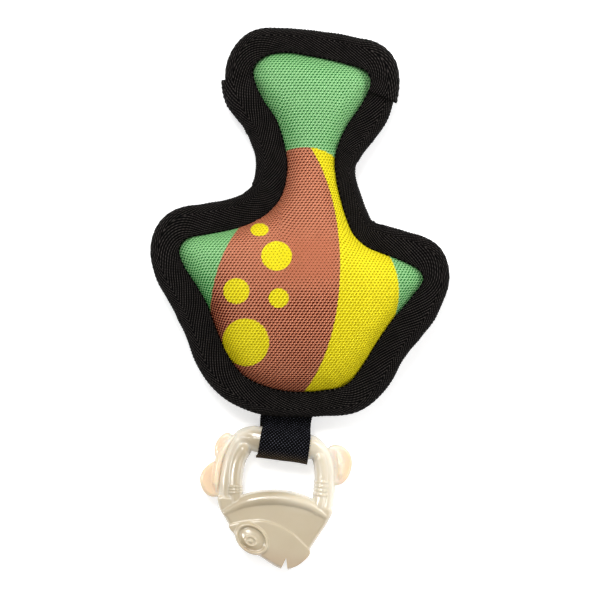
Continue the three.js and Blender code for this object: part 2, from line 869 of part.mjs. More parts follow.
function roundedSlab(places, thickness, rounding) {
  return slab(places, roundedStops(thickness / 2, rounding, -1));
}

function openingCutter() {
  const face = ringThickness / 2;
  const beyond = [ringRounding, face + ringRounding];
  const places = ringPlaces(openingShares, openingSteps);
  return slab(places, [beyond, ...roundedStops(face, ringRounding, 1)]);
}

// What is cut out of the ring to seat a nub, larger than the nub by the clearance all round
function nubSeat(places) {
  return slab(places, [[clearance, nubThickness / 2 + clearance]]);
}

// The fat rounded arch over the head: ovals along a curve, drawn in to a dome at both ends
function archGeometry() {
  const points = spread(archShares, ringWidth, ringDrop);
  const curve = new THREE.CatmullRomCurve3(points, false, "centripetal");
  const rings = [];
  for (let i = 1; i < archSteps; i++) {
    const along = Math.cos((Math.PI * i) / archSteps);
    const t = (1 - along) / 2;
    const draw = Math.sqrt(1 - along ** archEndShare);
    const tangent = curve.getTangentAt(t);
    const aside = new THREE.Vector3(-tangent.y, tangent.x, 0);
    const centre = curve.getPointAt(t);
    const ring = [];
    for (let k = 0; k < archSteps; k++) {
      const angle = (2 * Math.PI * k) / archSteps;
      const point = centre.clone().addScaledVector(aside, (draw * archWidth * Math.cos(angle)) / 2);
      point.z = (draw * archThickness * Math.sin(angle)) / 2;
      ring.push(point);
    }
    rings.push(ring);
  }
  const fan = Array.from({ length: archSteps - 2 }, (unused, k) => [0, k + 1, k + 2]);
  return loft(rings, () => fan);
}

// The eye: a raised rim round a low dome, through the head so that both sides have it
function eyeGeometry() {
  const half = loopOuter;
  const drops = [half - ringThickness / 2, eyeMoatDrop, eyeRimDrop, eyeMoatDrop, eyeRimDrop, 0];
  const side = eyeRadiusShares.map((share, i) => [(share * eyeLength) / 2, half - drops[i]]).reverse();
  const mirrored = side.map(([radius, height]) => [radius, -height]).reverse();
  const eye = turned([[0, half], ...side, ...mirrored, [0, -half]], eyeSteps);
  eye.scale(1, eyeWidth / eyeLength, 1).rotateZ(eyeTilt);
  return eye.translate(eyeShareX * ringWidth, eyeShareY * ringDrop, 0);
}

// What is cut away round the bar so that the webbing can turn on it
function barSleeve() {
  const halfWidth = webbingWidth / 2 + clearance;
  const shoulder = barShoulder;
  const reach = ringThickness;
  const radius = barDiameter / 2;
  const sleeve = turned([
    [radius, -halfWidth],
    [radius + shoulder, -halfWidth - shoulder],
    [reach, -halfWidth - shoulder],
    [reach, halfWidth + shoulder],
    [radius + shoulder, halfWidth + shoulder],
    [radius, halfWidth],
    [radius, -halfWidth],
  ]);
  return sleeve.rotateY(Math.PI / 2);
}

// The mouth is a narrow wedge cut in from the tip of the jaws
function mouthWedge() {
  const mouth = new THREE.Shape(spread(mouthShares, ringWidth, ringDrop));
  const wedge = new THREE.ExtrudeGeometry(mouth, { depth: 2 * ringThickness, bevelEnabled: false });
  return wedge.translate(0, 0, -ringThickness);
}

const nubLeft = ringPlaces(nubLeftShares, nubSteps);
const nubRight = ringPlaces(nubRightShares, nubSteps);
const faceThickness = ringThickness + 2 * faceLift;
const ring = toSolid(roundedSlab(ringPlaces(ringShares, ringSteps), ringThickness, ringRounding))
  .subtract(toSolid(openingCutter()))
  .add(toSolid(roundedSlab(ringPlaces(faceShares, nubSteps), faceThickness, faceLift)))
  .add(toSolid(archGeometry()))
  .add(toSolid(eyeGeometry()))
  .subtract(toSolid(barSleeve()))
  .subtract(toSolid(mouthWedge()))
  .subtract(toSolid(nubSeat(nubLeft)))
  .subtract(toSolid(nubSeat(nubRight)));
addPiece("chew_ring", toGeometry(ring), hardPlastic, hanger);
addPiece("soft_nub_left", roundedSlab(nubLeft, nubThickness, nubRounding), softPlastic, hanger);
addPiece("soft_nub_right", roundedSlab(nubRight, nubThickness, nubRounding), softPlastic, hanger);

// The origin moves to the middle of the footprint, on the table
const group = new THREE.Group();
group.add(toy);
group.updateMatrixWorld(true);
const bounds = new THREE.Box3().setFromObject(toy, true);
const middle = bounds.getCenter(new THREE.Vector3());
toy.position.set(-middle.x, -middle.y, -bounds.min.z);

export default group;
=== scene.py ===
# %% [markdown]
# # A stuffed cloth dog toy, dressed round its engineering model
# The toy is a flat cloth fish, stuffed and bound along its edge with heavy tape. A folded tab of
# webbing holds a moulded chew ring at its head. The engineering model gives every place and size.
# Here each soft piece is modelled again with its folds and weave, each moulded piece with its
# soft corners, and every surface gets a finish made from nodes.

# %% The frame that everything is built round
import json
import math
from functools import reduce

import bmesh
import bpy
import numpy as np
from mathutils import Matrix, Vector, noise
from mathutils.bvhtree import BVHTree


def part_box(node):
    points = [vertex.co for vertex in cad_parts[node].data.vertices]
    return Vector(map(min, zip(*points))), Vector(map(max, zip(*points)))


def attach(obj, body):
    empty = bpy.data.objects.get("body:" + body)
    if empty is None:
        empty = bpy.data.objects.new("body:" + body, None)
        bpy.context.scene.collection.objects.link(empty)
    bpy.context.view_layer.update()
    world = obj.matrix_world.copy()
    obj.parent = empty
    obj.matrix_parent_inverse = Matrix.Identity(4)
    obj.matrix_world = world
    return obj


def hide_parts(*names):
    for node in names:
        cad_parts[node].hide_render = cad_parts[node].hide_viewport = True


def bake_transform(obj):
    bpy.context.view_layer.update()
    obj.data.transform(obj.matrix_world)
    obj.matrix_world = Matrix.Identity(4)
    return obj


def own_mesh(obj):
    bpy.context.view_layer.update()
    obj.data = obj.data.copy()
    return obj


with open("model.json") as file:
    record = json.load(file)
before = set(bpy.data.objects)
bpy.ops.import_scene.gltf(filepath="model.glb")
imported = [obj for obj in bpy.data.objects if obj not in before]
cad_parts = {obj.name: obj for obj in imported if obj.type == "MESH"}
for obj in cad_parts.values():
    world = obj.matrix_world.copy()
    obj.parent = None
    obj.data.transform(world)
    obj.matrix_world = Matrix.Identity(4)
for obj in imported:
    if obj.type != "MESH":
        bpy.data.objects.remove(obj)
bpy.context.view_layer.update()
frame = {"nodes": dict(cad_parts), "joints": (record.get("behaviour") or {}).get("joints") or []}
MM = 0.001
scene = bpy.context.scene
scene.view_settings.view_transform = "Standard"

# %% [markdown]
# ## A material written as arithmetic
# A weave is a wave along the cloth times a wave across it, so it reads best as a formula. The
# class below stands for one socket of a node tree. Adding or multiplying two of them adds the
# Math node that does so, and `Finish.node` makes every other kind of node.

# %% A socket that can be calculated with
def operation(name):
    """A method that adds one Math node"""
    return lambda wire, *others: wire.math(name, *others)


class Wire:
    def __init__(self, finish, socket):
        self.finish = finish
        self.socket = socket

    def math(self, name, *others):
        inputs = dict(enumerate([self, *others]))
        return self.finish.node("ShaderNodeMath", {"operation": name}, inputs)

    __add__ = __radd__ = operation("ADD")
    __sub__ = operation("SUBTRACT")
    __mul__ = __rmul__ = operation("MULTIPLY")
    __truediv__ = operation("DIVIDE")
    larger = operation("MAXIMUM")
    smaller = operation("MINIMUM")
    size = operation("ABSOLUTE")
    fraction = operation("FRACT")
    cosine = operation("COSINE")
    root = operation("SQRT")

    def __rsub__(self, other):
        return self * -1 + other

    def limit(self):
        """Kept between 0 and 1"""
        return self.larger(0).smaller(1)

    def wave(self, pitch):
        """1 on each thread's crown and 0 between two threads, a pitch apart"""
        return (self * (2 * math.pi / pitch)).cosine() * 0.5 + 0.5

    def step(self, edge, blur):
        """0 below an edge and 1 above it, turning over a small width"""
        return ((self - edge) / blur + 0.5).limit()


# %% A material that makes its nodes as they are named
class Finish:
    def __init__(self, name, owner=None, output="ShaderNodeOutputMaterial"):
        self.owner = owner or bpy.data.materials.new(name)
        self.owner.use_nodes = True
        self.tree = self.owner.node_tree
        self.tree.nodes.clear()
        self.output = self.tree.nodes.new(output)

    def node(self, kind, settings=None, inputs=None, output=0):
        made = self.tree.nodes.new(kind)
        for name, value in (settings or {}).items():
            if name == "stops":
                ramp = made.color_ramp.elements
                while len(ramp) < len(value):
                    ramp.new(1)
                for element, (place, colour) in zip(ramp, value):
                    element.position = place
                    element.color = (*colour, 1)
            else:
                setattr(made, name, value)
        for name, value in (inputs or {}).items():
            self.plug(made.inputs[name], value)
        return Wire(self, made.outputs[output])

    def plug(self, socket, value):
        if isinstance(value, Wire):
            self.tree.links.new(value.socket, socket)
        elif isinstance(value, tuple) and len(value) == 3 and socket.type == "RGBA":
            socket.default_value = (*value, 1)
        else:
            socket.default_value = value

    def place(self):
        """Object coordinates, in metres, as three wires"""
        spot = self.node("ShaderNodeTexCoord", output="Object")
        return [self.node("ShaderNodeSeparateXYZ", inputs={0: spot}, output=k) for k in "XYZ"]

    def attribute(self, name):
        return self.node("ShaderNodeAttribute", {"attribute_name": name}, output="Fac")

    def noise(self, size, detail=2.0, roughness=0.5):
        spot = self.node("ShaderNodeTexCoord", output="Object")
        inputs = {"Vector": spot, "Scale": 1 / size, "Detail": detail, "Roughness": roughness}
        return self.node("ShaderNodeTexNoise", inputs=inputs)

    def blend(self, share, low, high):
        """A colour that goes from low to high as share goes from 0 to 1"""
        inputs = {"Factor": share, 6: low, 7: high}
        settings = {"data_type": "RGBA", "clamp_factor": True}
        return self.node("ShaderNodeMix", settings, inputs, output=2)

    def relief(self, height, depth, strength=1.0):
        """A bump as deep as the real relief, where height goes from 0 to 1"""
        inputs = {"Height": height, "Distance": depth, "Strength": strength}
        return self.node("ShaderNodeBump", inputs=inputs)

    def shade(self, **inputs):
        named = {}
        for name, value in inputs.items():
            named[name.replace("_", " ").title().replace("Ior", "IOR")] = value
        return self.end_with(self.node("ShaderNodeBsdfPrincipled", inputs=named))

    def end_with(self, surface):
        self.tree.links.new(surface.socket, self.output.inputs["Surface"])
        return self.owner


def srgb(red, green, blue):
    """A colour as it is seen, 0 to 255, in the linear values that a shader takes"""
    shares = [value / 255 for value in (red, green, blue)]
    return tuple(s / 12.92 if s <= 0.04045 else ((s + 0.055) / 1.055) ** 2.4 for s in shares)


# %% [markdown]
# ## The cloth's edge
# Every soft piece follows one line: the edge of the cloth, where the tape starts. It is drawn by given
# points, as shares of the toy's own sizes, and a smooth curve runs through them. The third value says how
# much of the tape's width shows there, because the tape leans with the cloth.

# %% Sizes of the body and the points of its edge
tail_width = 59 * MM
tail_length = 49.5 * MM
fin_span = 121 * MM
body_length = 119.5 * MM
tape_width = 14.5 * MM
tail_shares = [
    (0.288, 0.242, 0.94), (0.424, 0.485, 0.96), (0.5, 0.707, 0.81), (0.466, 0.808, 0.9),
    (0.263, 0.894, 0.9), (-0.008, 0.965, 0.82), (-0.237, 1, 0.78), (-0.398, 0.955, 0.93),
    (-0.483, 0.848, 0.87), (-0.47, 0.707, 0.97), (-0.398, 0.525, 1), (-0.288, 0.323, 1.03),
]
body_shares = [
    (-0.099, -0.017, 0.98), (-0.101, -0.117, 1.01), (-0.128, -0.201, 0.97), (-0.194, -0.272, 0.97),
    (-0.302, -0.322, 0.97), (-0.43, -0.347, 0.98), (-0.517, -0.368, 1), (-0.541, -0.41, 0.93),
    (-0.525, -0.469, 0.98), (-0.471, -0.556, 1.03), (-0.426, -0.636, 1.05), (-0.388, -0.741, 0.99),
    (-0.343, -0.845, 1.03), (-0.285, -0.925, 0.97), (-0.202, -0.973, 0.91), (-0.087, -1, 0.8),
    (0.045, -0.996, 0.8), (0.145, -0.971, 0.95), (0.202, -0.904, 1.06), (0.264, -0.803, 1),
    (0.331, -0.703, 1.06), (0.405, -0.615, 1.02), (0.459, -0.531, 0.84), (0.442, -0.494, 0.99),
    (0.351, -0.448, 0.92), (0.24, -0.406, 0.83), (0.178, -0.356, 0.72), (0.145, -0.285, 0.68),
    (0.12, -0.201, 0.64), (0.101, -0.109, 0.59), (0.097, -0.017, 0.74),
]

# The middle of the waist is found from the squeaker, which lies under the belly
cap_low, cap_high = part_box("squeaker_cap")
base_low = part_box("squeaker_base")[0]
squeaker_middle = (cap_low + cap_high) / 2
belly_seam = (base_low.z + cap_high.z) / 2
waist = Vector((squeaker_middle.x + 0.03 * fin_span, squeaker_middle.y + 0.535 * body_length))
print("waist", [round(value / MM, 2) for value in waist], "seam", round(belly_seam / MM, 2))


# %% A smooth closed line through points
def smooth_loop(points, steps):
    """The closed centripetal curve through points, as many steps between each two"""
    here = np.array(points, float)
    before, after, later = (np.roll(here, shift, 0) for shift in (1, -1, -2))
    pairs = (before, here), (here, after), (after, later)
    gaps = [np.linalg.norm(b - a, axis=1)[:, None] ** 0.5 for a, b in pairs]
    lean_in = ((here - before) / gaps[0] - (after - before) / (gaps[0] + gaps[1])) * gaps[1] + after - here
    lean_out = ((later - after) / gaps[2] - (later - here) / (gaps[1] + gaps[2])) * gaps[1] + after - here
    rows = []
    for t in np.linspace(0, 1, steps, endpoint=False):
        ends = (2 * t**3 - 3 * t**2 + 1) * here + (3 * t**2 - 2 * t**3) * after
        rows.append(ends + (t**3 - 2 * t**2 + t) * lean_in + (t**3 - t**2) * lean_out)
    return np.stack(rows, 1).reshape(-1, here.shape[1])


def lengths_along(line):
    """The length of an open line up to each of its points"""
    strides = np.linalg.norm(np.diff(line, axis=0), axis=1)
    return np.concatenate([[0], np.cumsum(strides)])


def at_lengths(stops, line, lengths):
    return np.stack([np.interp(stops, lengths, column) for column in line.T], 1)


def spread_evenly(line, spacing, closed=True):
    """The same line with its points an even distance apart, and each point's length along it"""
    ends = np.vstack([line, line[:1]]) if closed else line
    lengths = lengths_along(ends[:, :2])
    stops = np.linspace(0, lengths[-1], round(lengths[-1] / spacing), endpoint=not closed)
    return at_lengths(stops, ends, lengths), stops, lengths[-1]


# %% The edge, the way it runs at each point, and how hard it turns
edge_points = [(x * tail_width, y * tail_length, reach) for x, y, reach in tail_shares]
edge_points += [(x * fin_span, y * body_length, reach) for x, y, reach in body_shares]
edge_points = [(x + waist.x, y + waist.y, reach * MM) for x, y, reach in edge_points]
edge_step = 0.5 * MM
edge, edge_stops, edge_length = spread_evenly(smooth_loop(edge_points, 40), edge_step)
edge_reach = edge[:, 2] / MM
edge_line = edge[:, :2]
edge_tangent = np.roll(edge_line, -3, 0) - np.roll(edge_line, 3, 0)
edge_tangent /= np.linalg.norm(edge_tangent, axis=1)[:, None]
edge_outward = np.stack([edge_tangent[:, 1], -edge_tangent[:, 0]], 1)
ahead, behind = np.roll(edge_tangent, -8, 0), np.roll(edge_tangent, 8, 0)
radians_per_mm = np.cross(behind, ahead) / (16 * edge_step / MM)
crowding = np.clip(radians_per_mm * 12, 0, 1)
print("edge", len(edge), "points,", round(edge_length / MM), "mm long")

# %% [markdown]
# ## Heights taken from the model
# The seam between front and back dips at the tail and the head. Rather than guess it again, a ray
# is dropped on the model's front panel just outside the edge, where the cloth runs flat inside
# the tape: the seam lies just under that.


# %% Rays dropped on the model's cloth
def mesh_of(node):
    shape = bmesh.new()
    shape.from_mesh(frame["nodes"][node].data)
    return shape


def tree_of(node):
    shape = mesh_of(node)
    tree = BVHTree.FromBMesh(shape)
    shape.free()
    return tree


def height_on(tree, x, y, side):
    hit = tree.ray_cast(Vector((x, y, side * 0.2)), Vector((0, 0, -side)))[0]
    return None if hit is None else hit.z


model_front = tree_of("front_panel")
model_back = tree_of("back_panel")
flange_height = 0.95 * MM
flange_reach = 6 * MM
seam_stops = edge_line + edge_outward * (flange_reach * edge_reach)[:, None]
edge_seam = np.array([height_on(model_front, x, y, 1) for x, y in seam_stops]) - flange_height
kernel = np.hanning(41) / np.hanning(41).sum()
edge_seam = np.convolve(np.concatenate([edge_seam[-20:], edge_seam, edge_seam[:20]]), kernel, "valid")
print("seam from", round(edge_seam.min() / MM, 1), "to", round(edge_seam.max() / MM, 1))

# %% [markdown]
# ## Cloth cut as a grid
# Woven cloth is a grid of threads, so the panel starts as a grid whose rows and columns run with
# the weave. What lies outside the edge is cut away, except for a margin that the tape hides. The
# rest is lifted to the model's crown. Each point keeps the length of cloth between it and the
# middle, both ways, so that the weave stays the same size on the steep sides. It also keeps its
# distance from the tape.


# %% Helpers shared by all pieces
def new_piece(name, shape, material):
    mesh = bpy.data.meshes.new(name)
    shape.to_mesh(mesh)
    shape.free()
    mesh.materials.append(material)
    mesh.shade_smooth()
    piece = bpy.data.objects.new(name, mesh)
    scene.collection.objects.link(piece)
    return piece


def settle(piece):
    """Turns the piece's modifiers into its mesh"""
    graph = bpy.context.evaluated_depsgraph_get()
    mesh = bpy.data.meshes.new_from_object(piece.evaluated_get(graph), depsgraph=graph)
    piece.modifiers.clear()
    piece.data = mesh
    mesh.shade_smooth()
    return piece


def give(piece, name, values):
    attribute = piece.data.attributes.new(name, "FLOAT", "POINT")
    attribute.data.foreach_set("value", np.asarray(values, np.float32))


def set_all(thing, **values):
    for name, value in values.items():
        setattr(thing, name, value)
    return thing


def modify(piece, kind, **settings):
    """Adds a modifier, which settle then turns into mesh"""
    set_all(piece.modifiers.new(kind.lower(), kind), **settings)


def thicken(piece, thickness, offset=-1):
    quality = {"use_even_offset": True, "use_quality_normals": True}
    modify(piece, "SOLIDIFY", thickness=thickness, offset=offset, **quality)


def count_triangles(piece):
    return sum(len(face.vertices) - 2 for face in piece.data.polygons)


# %% How far points lie inside the edge
def inside_edge(points):
    """Each point's distance to the edge, positive inside, and the edge's nearest stop"""
    distances, nearest = [], []
    for point in points:
        square = ((edge_line - point) ** 2).sum(1)
        best = int(square.argmin())
        offset = point - edge_line[best]
        side = -1 if (offset * edge_outward[best]).sum() > 0 else 1
        distances.append(side * math.sqrt(square[best]))
        nearest.append(best)
    return np.array(distances), np.array(nearest)


# %% The panel itself
cloth_cell = 1.6 * MM
hidden_margin = 4.5 * MM
skin_thickness = 0.6 * MM


def cut_panel(name, side, tree, material):
    low = edge_line.min(0) - hidden_margin
    high = edge_line.max(0) + hidden_margin
    columns, rows = (int(math.ceil(size / cloth_cell)) for size in high - low)
    shape = bmesh.new()
    bmesh.ops.create_grid(shape, x_segments=columns, y_segments=rows, size=0.5)
    stretch = Matrix.Diagonal((columns * cloth_cell, rows * cloth_cell, 1, 1))
    middle = Matrix.Translation(((low[0] + high[0]) / 2, (low[1] + high[1]) / 2, 0))
    bmesh.ops.transform(shape, matrix=middle @ stretch, verts=shape.verts)
    flat = np.array([vert.co[:2] for vert in shape.verts])
    depth = inside_edge(flat)[0]
    outside = [vert for vert, inside in zip(shape.verts, depth) if inside < -hidden_margin]
    bmesh.ops.delete(shape, geom=outside, context="VERTS")
    if side < 0:
        bmesh.ops.reverse_faces(shape, faces=shape.faces)
    for vert in shape.verts:
        lifted = height_on(tree, vert.co.x, vert.co.y, side)
        vert.co.z = belly_seam if lifted is None else lifted
    for _ in range(6):
        bmesh.ops.smooth_vert(shape, verts=shape.verts, factor=0.5, use_axis_z=True)
    return new_piece(name, shape, material)


tail_middle = squeaker_middle.y + 100 * MM


def measure_cloth(piece):
    """Lengths of cloth along both threads, which agree along a few lines across the panel"""
    places = np.array([vert.co for vert in piece.data.vertices])
    cells = np.round((places[:, :2] - places[:, :2].min(0)) / cloth_cell).astype(int)
    spine = cells[np.abs(places[:, :2] - squeaker_middle.xy).sum(1).argmin(), 0]
    for axis, name in ((0, "weft_length"), (1, "warp_length")):
        anchors = [(squeaker_middle[axis], squeaker_middle[axis])]
        if axis:
            middle = thread(places, cells, axis, spine)[0]
            span = np.diff(np.interp((squeaker_middle.y, tail_middle), middle[:, 0], middle[:, 1]))[0]
            anchors.append((tail_middle, squeaker_middle.y + span))
        lengths = np.zeros(len(places))
        for line in np.unique(cells[:, 1 - axis]):
            for stops, members in zip(*[iter(thread(places, cells, axis, line))] * 2):
                lengths[members] = stops[:, 1] + agreed_offset(stops, anchors)
        give(piece, name, lengths)
    give(piece, "from_tape", inside_edge(places[:, :2])[0])


def thread(places, cells, axis, line):
    """Each unbroken run of points along one thread: coordinates with lengths, and who they are"""
    members = np.flatnonzero(cells[:, 1 - axis] == line)
    members = members[np.argsort(cells[members, axis])]
    runs = []
    for run in np.split(members, np.flatnonzero(np.diff(cells[members, axis]) > 1) + 1):
        runs += [np.stack([places[run, axis], lengths_along(places[run][:, [axis, 2]])], 1), run]
    return runs


def agreed_offset(stops, anchors):
    """What is added to a run's lengths so that they are the agreed ones at the anchors"""
    inside = [(at, length) for at, length in anchors if stops[0, 0] <= at <= stops[-1, 0]]
    nearest = min(anchors, key=lambda anchor: abs(anchor[0] - stops[:, 0].mean()))
    if not inside:
        end = np.clip(nearest[0], stops[0, 0], stops[-1, 0])
        inside = [(end, nearest[1] + end - nearest[0])]
    offsets = [length - np.interp(at, stops[:, 0], stops[:, 1]) for at, length in inside]
    return np.interp(stops[:, 0], [at for at, length in inside], offsets)


# %% [markdown]
# ## Stuffing the cloth
# Fibre pushed into a sewn cover presses on it evenly, like air. So each panel is simulated as cloth: the
# points that the tape hides are held, a steady pressure pushes out from inside, and gravity is left off.
# The points may move only a little, so that the toy keeps its size, and the simulated shape then becomes
# the mesh.


# %% Simulated stuffing
stuffing_frames = 20
sewn_depth = 0.6 * MM


def stuff(piece, pressure, most):
    mesh = piece.data
    rest = np.array([vert.co for vert in mesh.vertices])
    depth = inside_edge(rest[:, :2])[0]
    held = piece.vertex_groups.new(name="sewn")
    held.add([int(i) for i in np.flatnonzero(depth < sewn_depth)], 1.0, "REPLACE")
    cloth = piece.modifiers.new("stuffing", "CLOTH")
    set_all(
        cloth.settings,
        quality=6,
        mass=0.0004,
        vertex_group_mass="sewn",
        tension_stiffness=5,
        compression_stiffness=5,
        shear_stiffness=3,
        bending_stiffness=0.05,
        use_pressure=True,
        uniform_pressure_force=pressure,
    )
    cloth.settings.effector_weights.gravity = 0
    for step in range(1, stuffing_frames + 1):
        scene.frame_set(step)
    graph = bpy.context.evaluated_depsgraph_get()
    moved = np.array([vert.co for vert in piece.evaluated_get(graph).data.vertices]) - rest
    piece.modifiers.remove(cloth)
    scene.frame_set(1)
    lengths = np.linalg.norm(moved, axis=1)[:, None]
    capped = moved * np.minimum(1, most / np.maximum(lengths, 1e-9))
    mesh.vertices.foreach_set("co", (rest + capped).astype(np.float32).ravel())
    print(piece.name, "moved", round(lengths.max() / MM, 2), "mm, mean", round(lengths.mean() / MM, 2))


# %% [markdown]
# ## The printed weave
# The cloth is a coarse plain weave. Each dye has three tones: a painted shade in the gaps between the
# threads, its own colour on the threads' flanks, and a painted highlight on their crowns. The print is a
# few plain fields of colour, cut by ellipses, with round spots. All are formulas, so they stay sharp. The
# gaps are made wider on the lower belly, at its left and beside the tape, and nearly closed on the crown:
# partly the cloth stretched by the stuffing, partly painted shade on those parts and painted light on the
# crown.

# %% Woven cloth with a print
warp_pitch = 0.94 * MM
weft_pitch = 1.42 * MM
gap_half_width = 0.62 * MM
gap_half_height = 0.4 * MM
print_blur = 0.35 * MM
ragged_by = 0.5 * MM
dark_beside_tape = 9 * MM
# Each dye's gap tone, a painted shade, its thread colour, and its crown tone, a painted highlight
leaf_green = srgb(0, 102, 38), srgb(98, 180, 92), srgb(194, 240, 184)
rust = srgb(60, 4, 0), srgb(178, 86, 50), srgb(244, 172, 138)
sun_yellow = srgb(188, 168, 0), srgb(252, 233, 6), srgb(255, 242, 64)
# Each ellipse's middle, half width and half height, in millimetres
rust_right = -18.8, 17.5, 38.8, 75
rust_left = -5, -12.5, 40, 62.75
yellow_side = 15, 4, 34.25, 36
tail_hem = 2.5, 51.25, 25, 25
spots = (
    (-20, 35, 4.5, 3.2),
    (-11.5, 22, 7.6, 7.3),
    (-31.5, 4.5, 6.5, 6.4),
    (-10.5, 1, 5, 4.8),
    (-27, -21, 11.7, 11.9),
)


def weave(finish, openness):
    """The height of a close plain weave: 0 in the gaps, which lie in every second crossing"""
    u = finish.attribute("weft_length") / (2 * warp_pitch)
    v = finish.attribute("warp_length") / (2 * weft_pitch)

    def from_gap(shift):
        across = ((u + shift).fraction() - 0.5) * (2 * warp_pitch)
        along = ((v + shift).fraction() - 0.5) * (2 * weft_pitch) - across * 0.35
        across = across / gap_half_width
        along = along / gap_half_height
        return (across * across + along * along).root()

    closed = ((from_gap(0.0).smaller(from_gap(0.5)) - openness) / 0.6).limit()
    rounded = closed * closed * (3 - closed * 2)
    crowns = (u * 4 * math.pi).cosine() * (v * 4 * math.pi).cosine()
    return rounded * (crowns * -0.25 + 0.75)


def in_ellipse(x, y, ellipse):
    """1 inside an ellipse and 0 outside"""
    middle_x, middle_y, half_width, half_height = (value * MM for value in ellipse)
    across = (x - middle_x) / half_width
    along = (y - middle_y) / half_height
    return 1 - (across * across + along * along).root().step(1, print_blur / half_width)


def printed_cloth(name, mirrored):
    finish = Finish(name)
    x, y, _ = finish.place()
    if mirrored:
        x = 2 * waist.x - x
    lower = ((26 * MM - y) / (28 * MM)).limit()
    middle = x.step(-14 * MM, 18 * MM) * (1 - x.step(28 * MM, 14 * MM))
    crown = x.step(-15 * MM, 20 * MM) * (1 - x.step(19 * MM, 8 * MM))
    crown = crown * y.step(6 * MM, 14 * MM) * (1 - y.step(34 * MM, 14 * MM))
    left_side = 1 - x.step(-34 * MM, 14 * MM)
    # Beside the tape more of the gaps shows as the cloth turns away, and the cloth there is drawn darker,
    # a painted shade, least at the right
    shade_beside_tape = (1 - finish.attribute("from_tape") / dark_beside_tape).limit()
    shade_beside_tape = shade_beside_tape * (1 - x.step(4 * MM, 30 * MM) * 0.6)
    # Gaps open on the lower belly, at its left and beside the tape, and close on the crown: partly
    # stretch, partly painted shade and light
    opened = lower * (left_side * 0.25 + 0.24) + middle * 0.12 - crown * 0.36 + shade_beside_tape * 0.2
    height = weave(finish, finish.noise(24 * MM) * 0.3 + 0.32 + opened)
    # The dye follows the threads, so each border is a little ragged
    ragged = (height - 0.5) * ragged_by
    x = x + ragged
    y = y + ragged
    above_left = y.step(36 * MM, 0.5 * MM)
    belly = in_ellipse(x, y, rust_right) * in_ellipse(x, y, rust_left).larger(above_left)
    yellow = in_ellipse(x, y, yellow_side).larger(1 - y.step(-24 * MM, 1 * MM))
    yellow = yellow.larger(y.step(38 * MM, 1 * MM)) * x.step(0, 0.5 * MM)
    tail = y.step(tail_hem[1] * MM, 0.4 * MM) * (1 - in_ellipse(x, y, tail_hem))
    spotted = reduce(Wire.larger, [in_ellipse(x, y, spot) for spot in spots])
    # The tones of each colour: in the gaps a painted shade, on the crowns a painted highlight
    tones_with_painted_light = []
    for green, brown, bright in zip(leaf_green, rust, sun_yellow):
        colour = finish.blend(yellow, green, bright)
        colour = finish.blend(belly, colour, brown)
        colour = finish.blend(belly * spotted, colour, bright)
        tones_with_painted_light.append(finish.blend(tail, colour, green))
    painted_gap_shade, thread, lit = tones_with_painted_light
    uneven = finish.noise(0.7 * MM, detail=1.0) * 0.24 + 0.88
    # Where the weave opens, and beside the tape, the threads take on the gaps' painted shade
    thread = finish.blend(height * uneven * (2 - shade_beside_tape * 0.5), painted_gap_shade, thread)
    # The crown tone goes on as a painted highlight, less on the belly's crown and beside the tape
    shine = (height * 2 - 1) * (1 - crown * 0.4) * (1 - shade_beside_tape * 0.3)
    return finish.shade(
        base_color=finish.blend(shine, thread, lit),
        roughness=0.6 - height * 0.15,
        normal=finish.relief(height, 0.7 * MM),
        specular_ior_level=0.04,
    )


front_finish = printed_cloth("printed_cloth", mirrored=False)
back_finish = printed_cloth("printed_cloth_back", mirrored=True)

# %% [markdown]
# ## Puckers and dents
# Cloth that is gathered into a seam puckers beside it, most where the edge turns hard. Teased
# fibre never fills evenly, so the rest of the panel is slightly dented.

# %% Puckers near the tape, and dents where the stuffing is uneven
def crumple(piece, side):
    mesh = piece.data
    places = np.array([vert.co for vert in mesh.vertices])
    depth, nearest = inside_edge(places[:, :2])
    for place, inside, stop, crowd in zip(places, depth, edge_stops[nearest], crowding[nearest]):
        gathered = noise.noise(Vector((stop / (6 * MM), inside / (14 * MM), 7 * side)))
        gathered *= 1 + 1.6 * crowd
        dented = noise.noise(Vector((place[0] / (17 * MM), place[1] / (21 * MM), 3 * side)))
        near_tape = math.exp(-((inside / ((5 + 4 * crowd) * MM) - 0.6) ** 2))
        away = 1 - math.exp(-max(0.0, inside) / (8 * MM))
        sunk = 1.3 * math.exp(-max(0.0, inside) / (3.5 * MM))
        place[2] += side * (gathered * near_tape * 0.55 + dented * away * 0.8 - sunk) * MM
    # The cloth stays on its own side of the seam, and above the table
    clear_of_seam = side * (edge_seam[nearest] + side * 0.65 * MM)
    places[:, 2] = side * np.maximum(side * places[:, 2], clear_of_seam)
    places[:, 2] = np.maximum(places[:, 2], 0.1 * MM)
    mesh.vertices.foreach_set("co", places.astype(np.float32).ravel())


# %% Both panels cut, measured and stuffed
panels = {}
for name, side, tree, finish, node in (
    ("front_cloth", 1, model_front, front_finish, "front_panel"),
    ("back_cloth", -1, model_back, back_finish, "back_panel"),
):
    panel = cut_panel(name, side, tree, finish)
    measure_cloth(panel)
    stuff(panel, pressure=60 if side > 0 else 40, most=1.4 * MM)
    crumple(panel, side)
    modify(panel, "SUBSURF", levels=1, render_levels=1)
    thicken(panel, skin_thickness)
    settle(panel)
    heights = [vert.co.z for vert in panel.data.vertices]
    low, high = (round(value / MM, 1) for value in (min(heights), max(heights)))
    print(name, count_triangles(panel), "triangles, z", low, high)
    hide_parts(node)
    panels[name] = panel
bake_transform(panels["front_cloth"])
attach(panels["back_cloth"], "cover")

# %% [markdown]
# ## The edge tape
# A strip of heavy twill tape is folded over the raw edges and sewn through. It starts as a flat
# grid with one column for each half millimetre of tape, and each column is laid on the tape's
# cross section: in from the front, round the fold and back under. Real tape is never quite flat,
# so its height wanders, more at the corners, where its inner edge is crowded. The ribs end at the
# fold, which gives it a fine scallop.

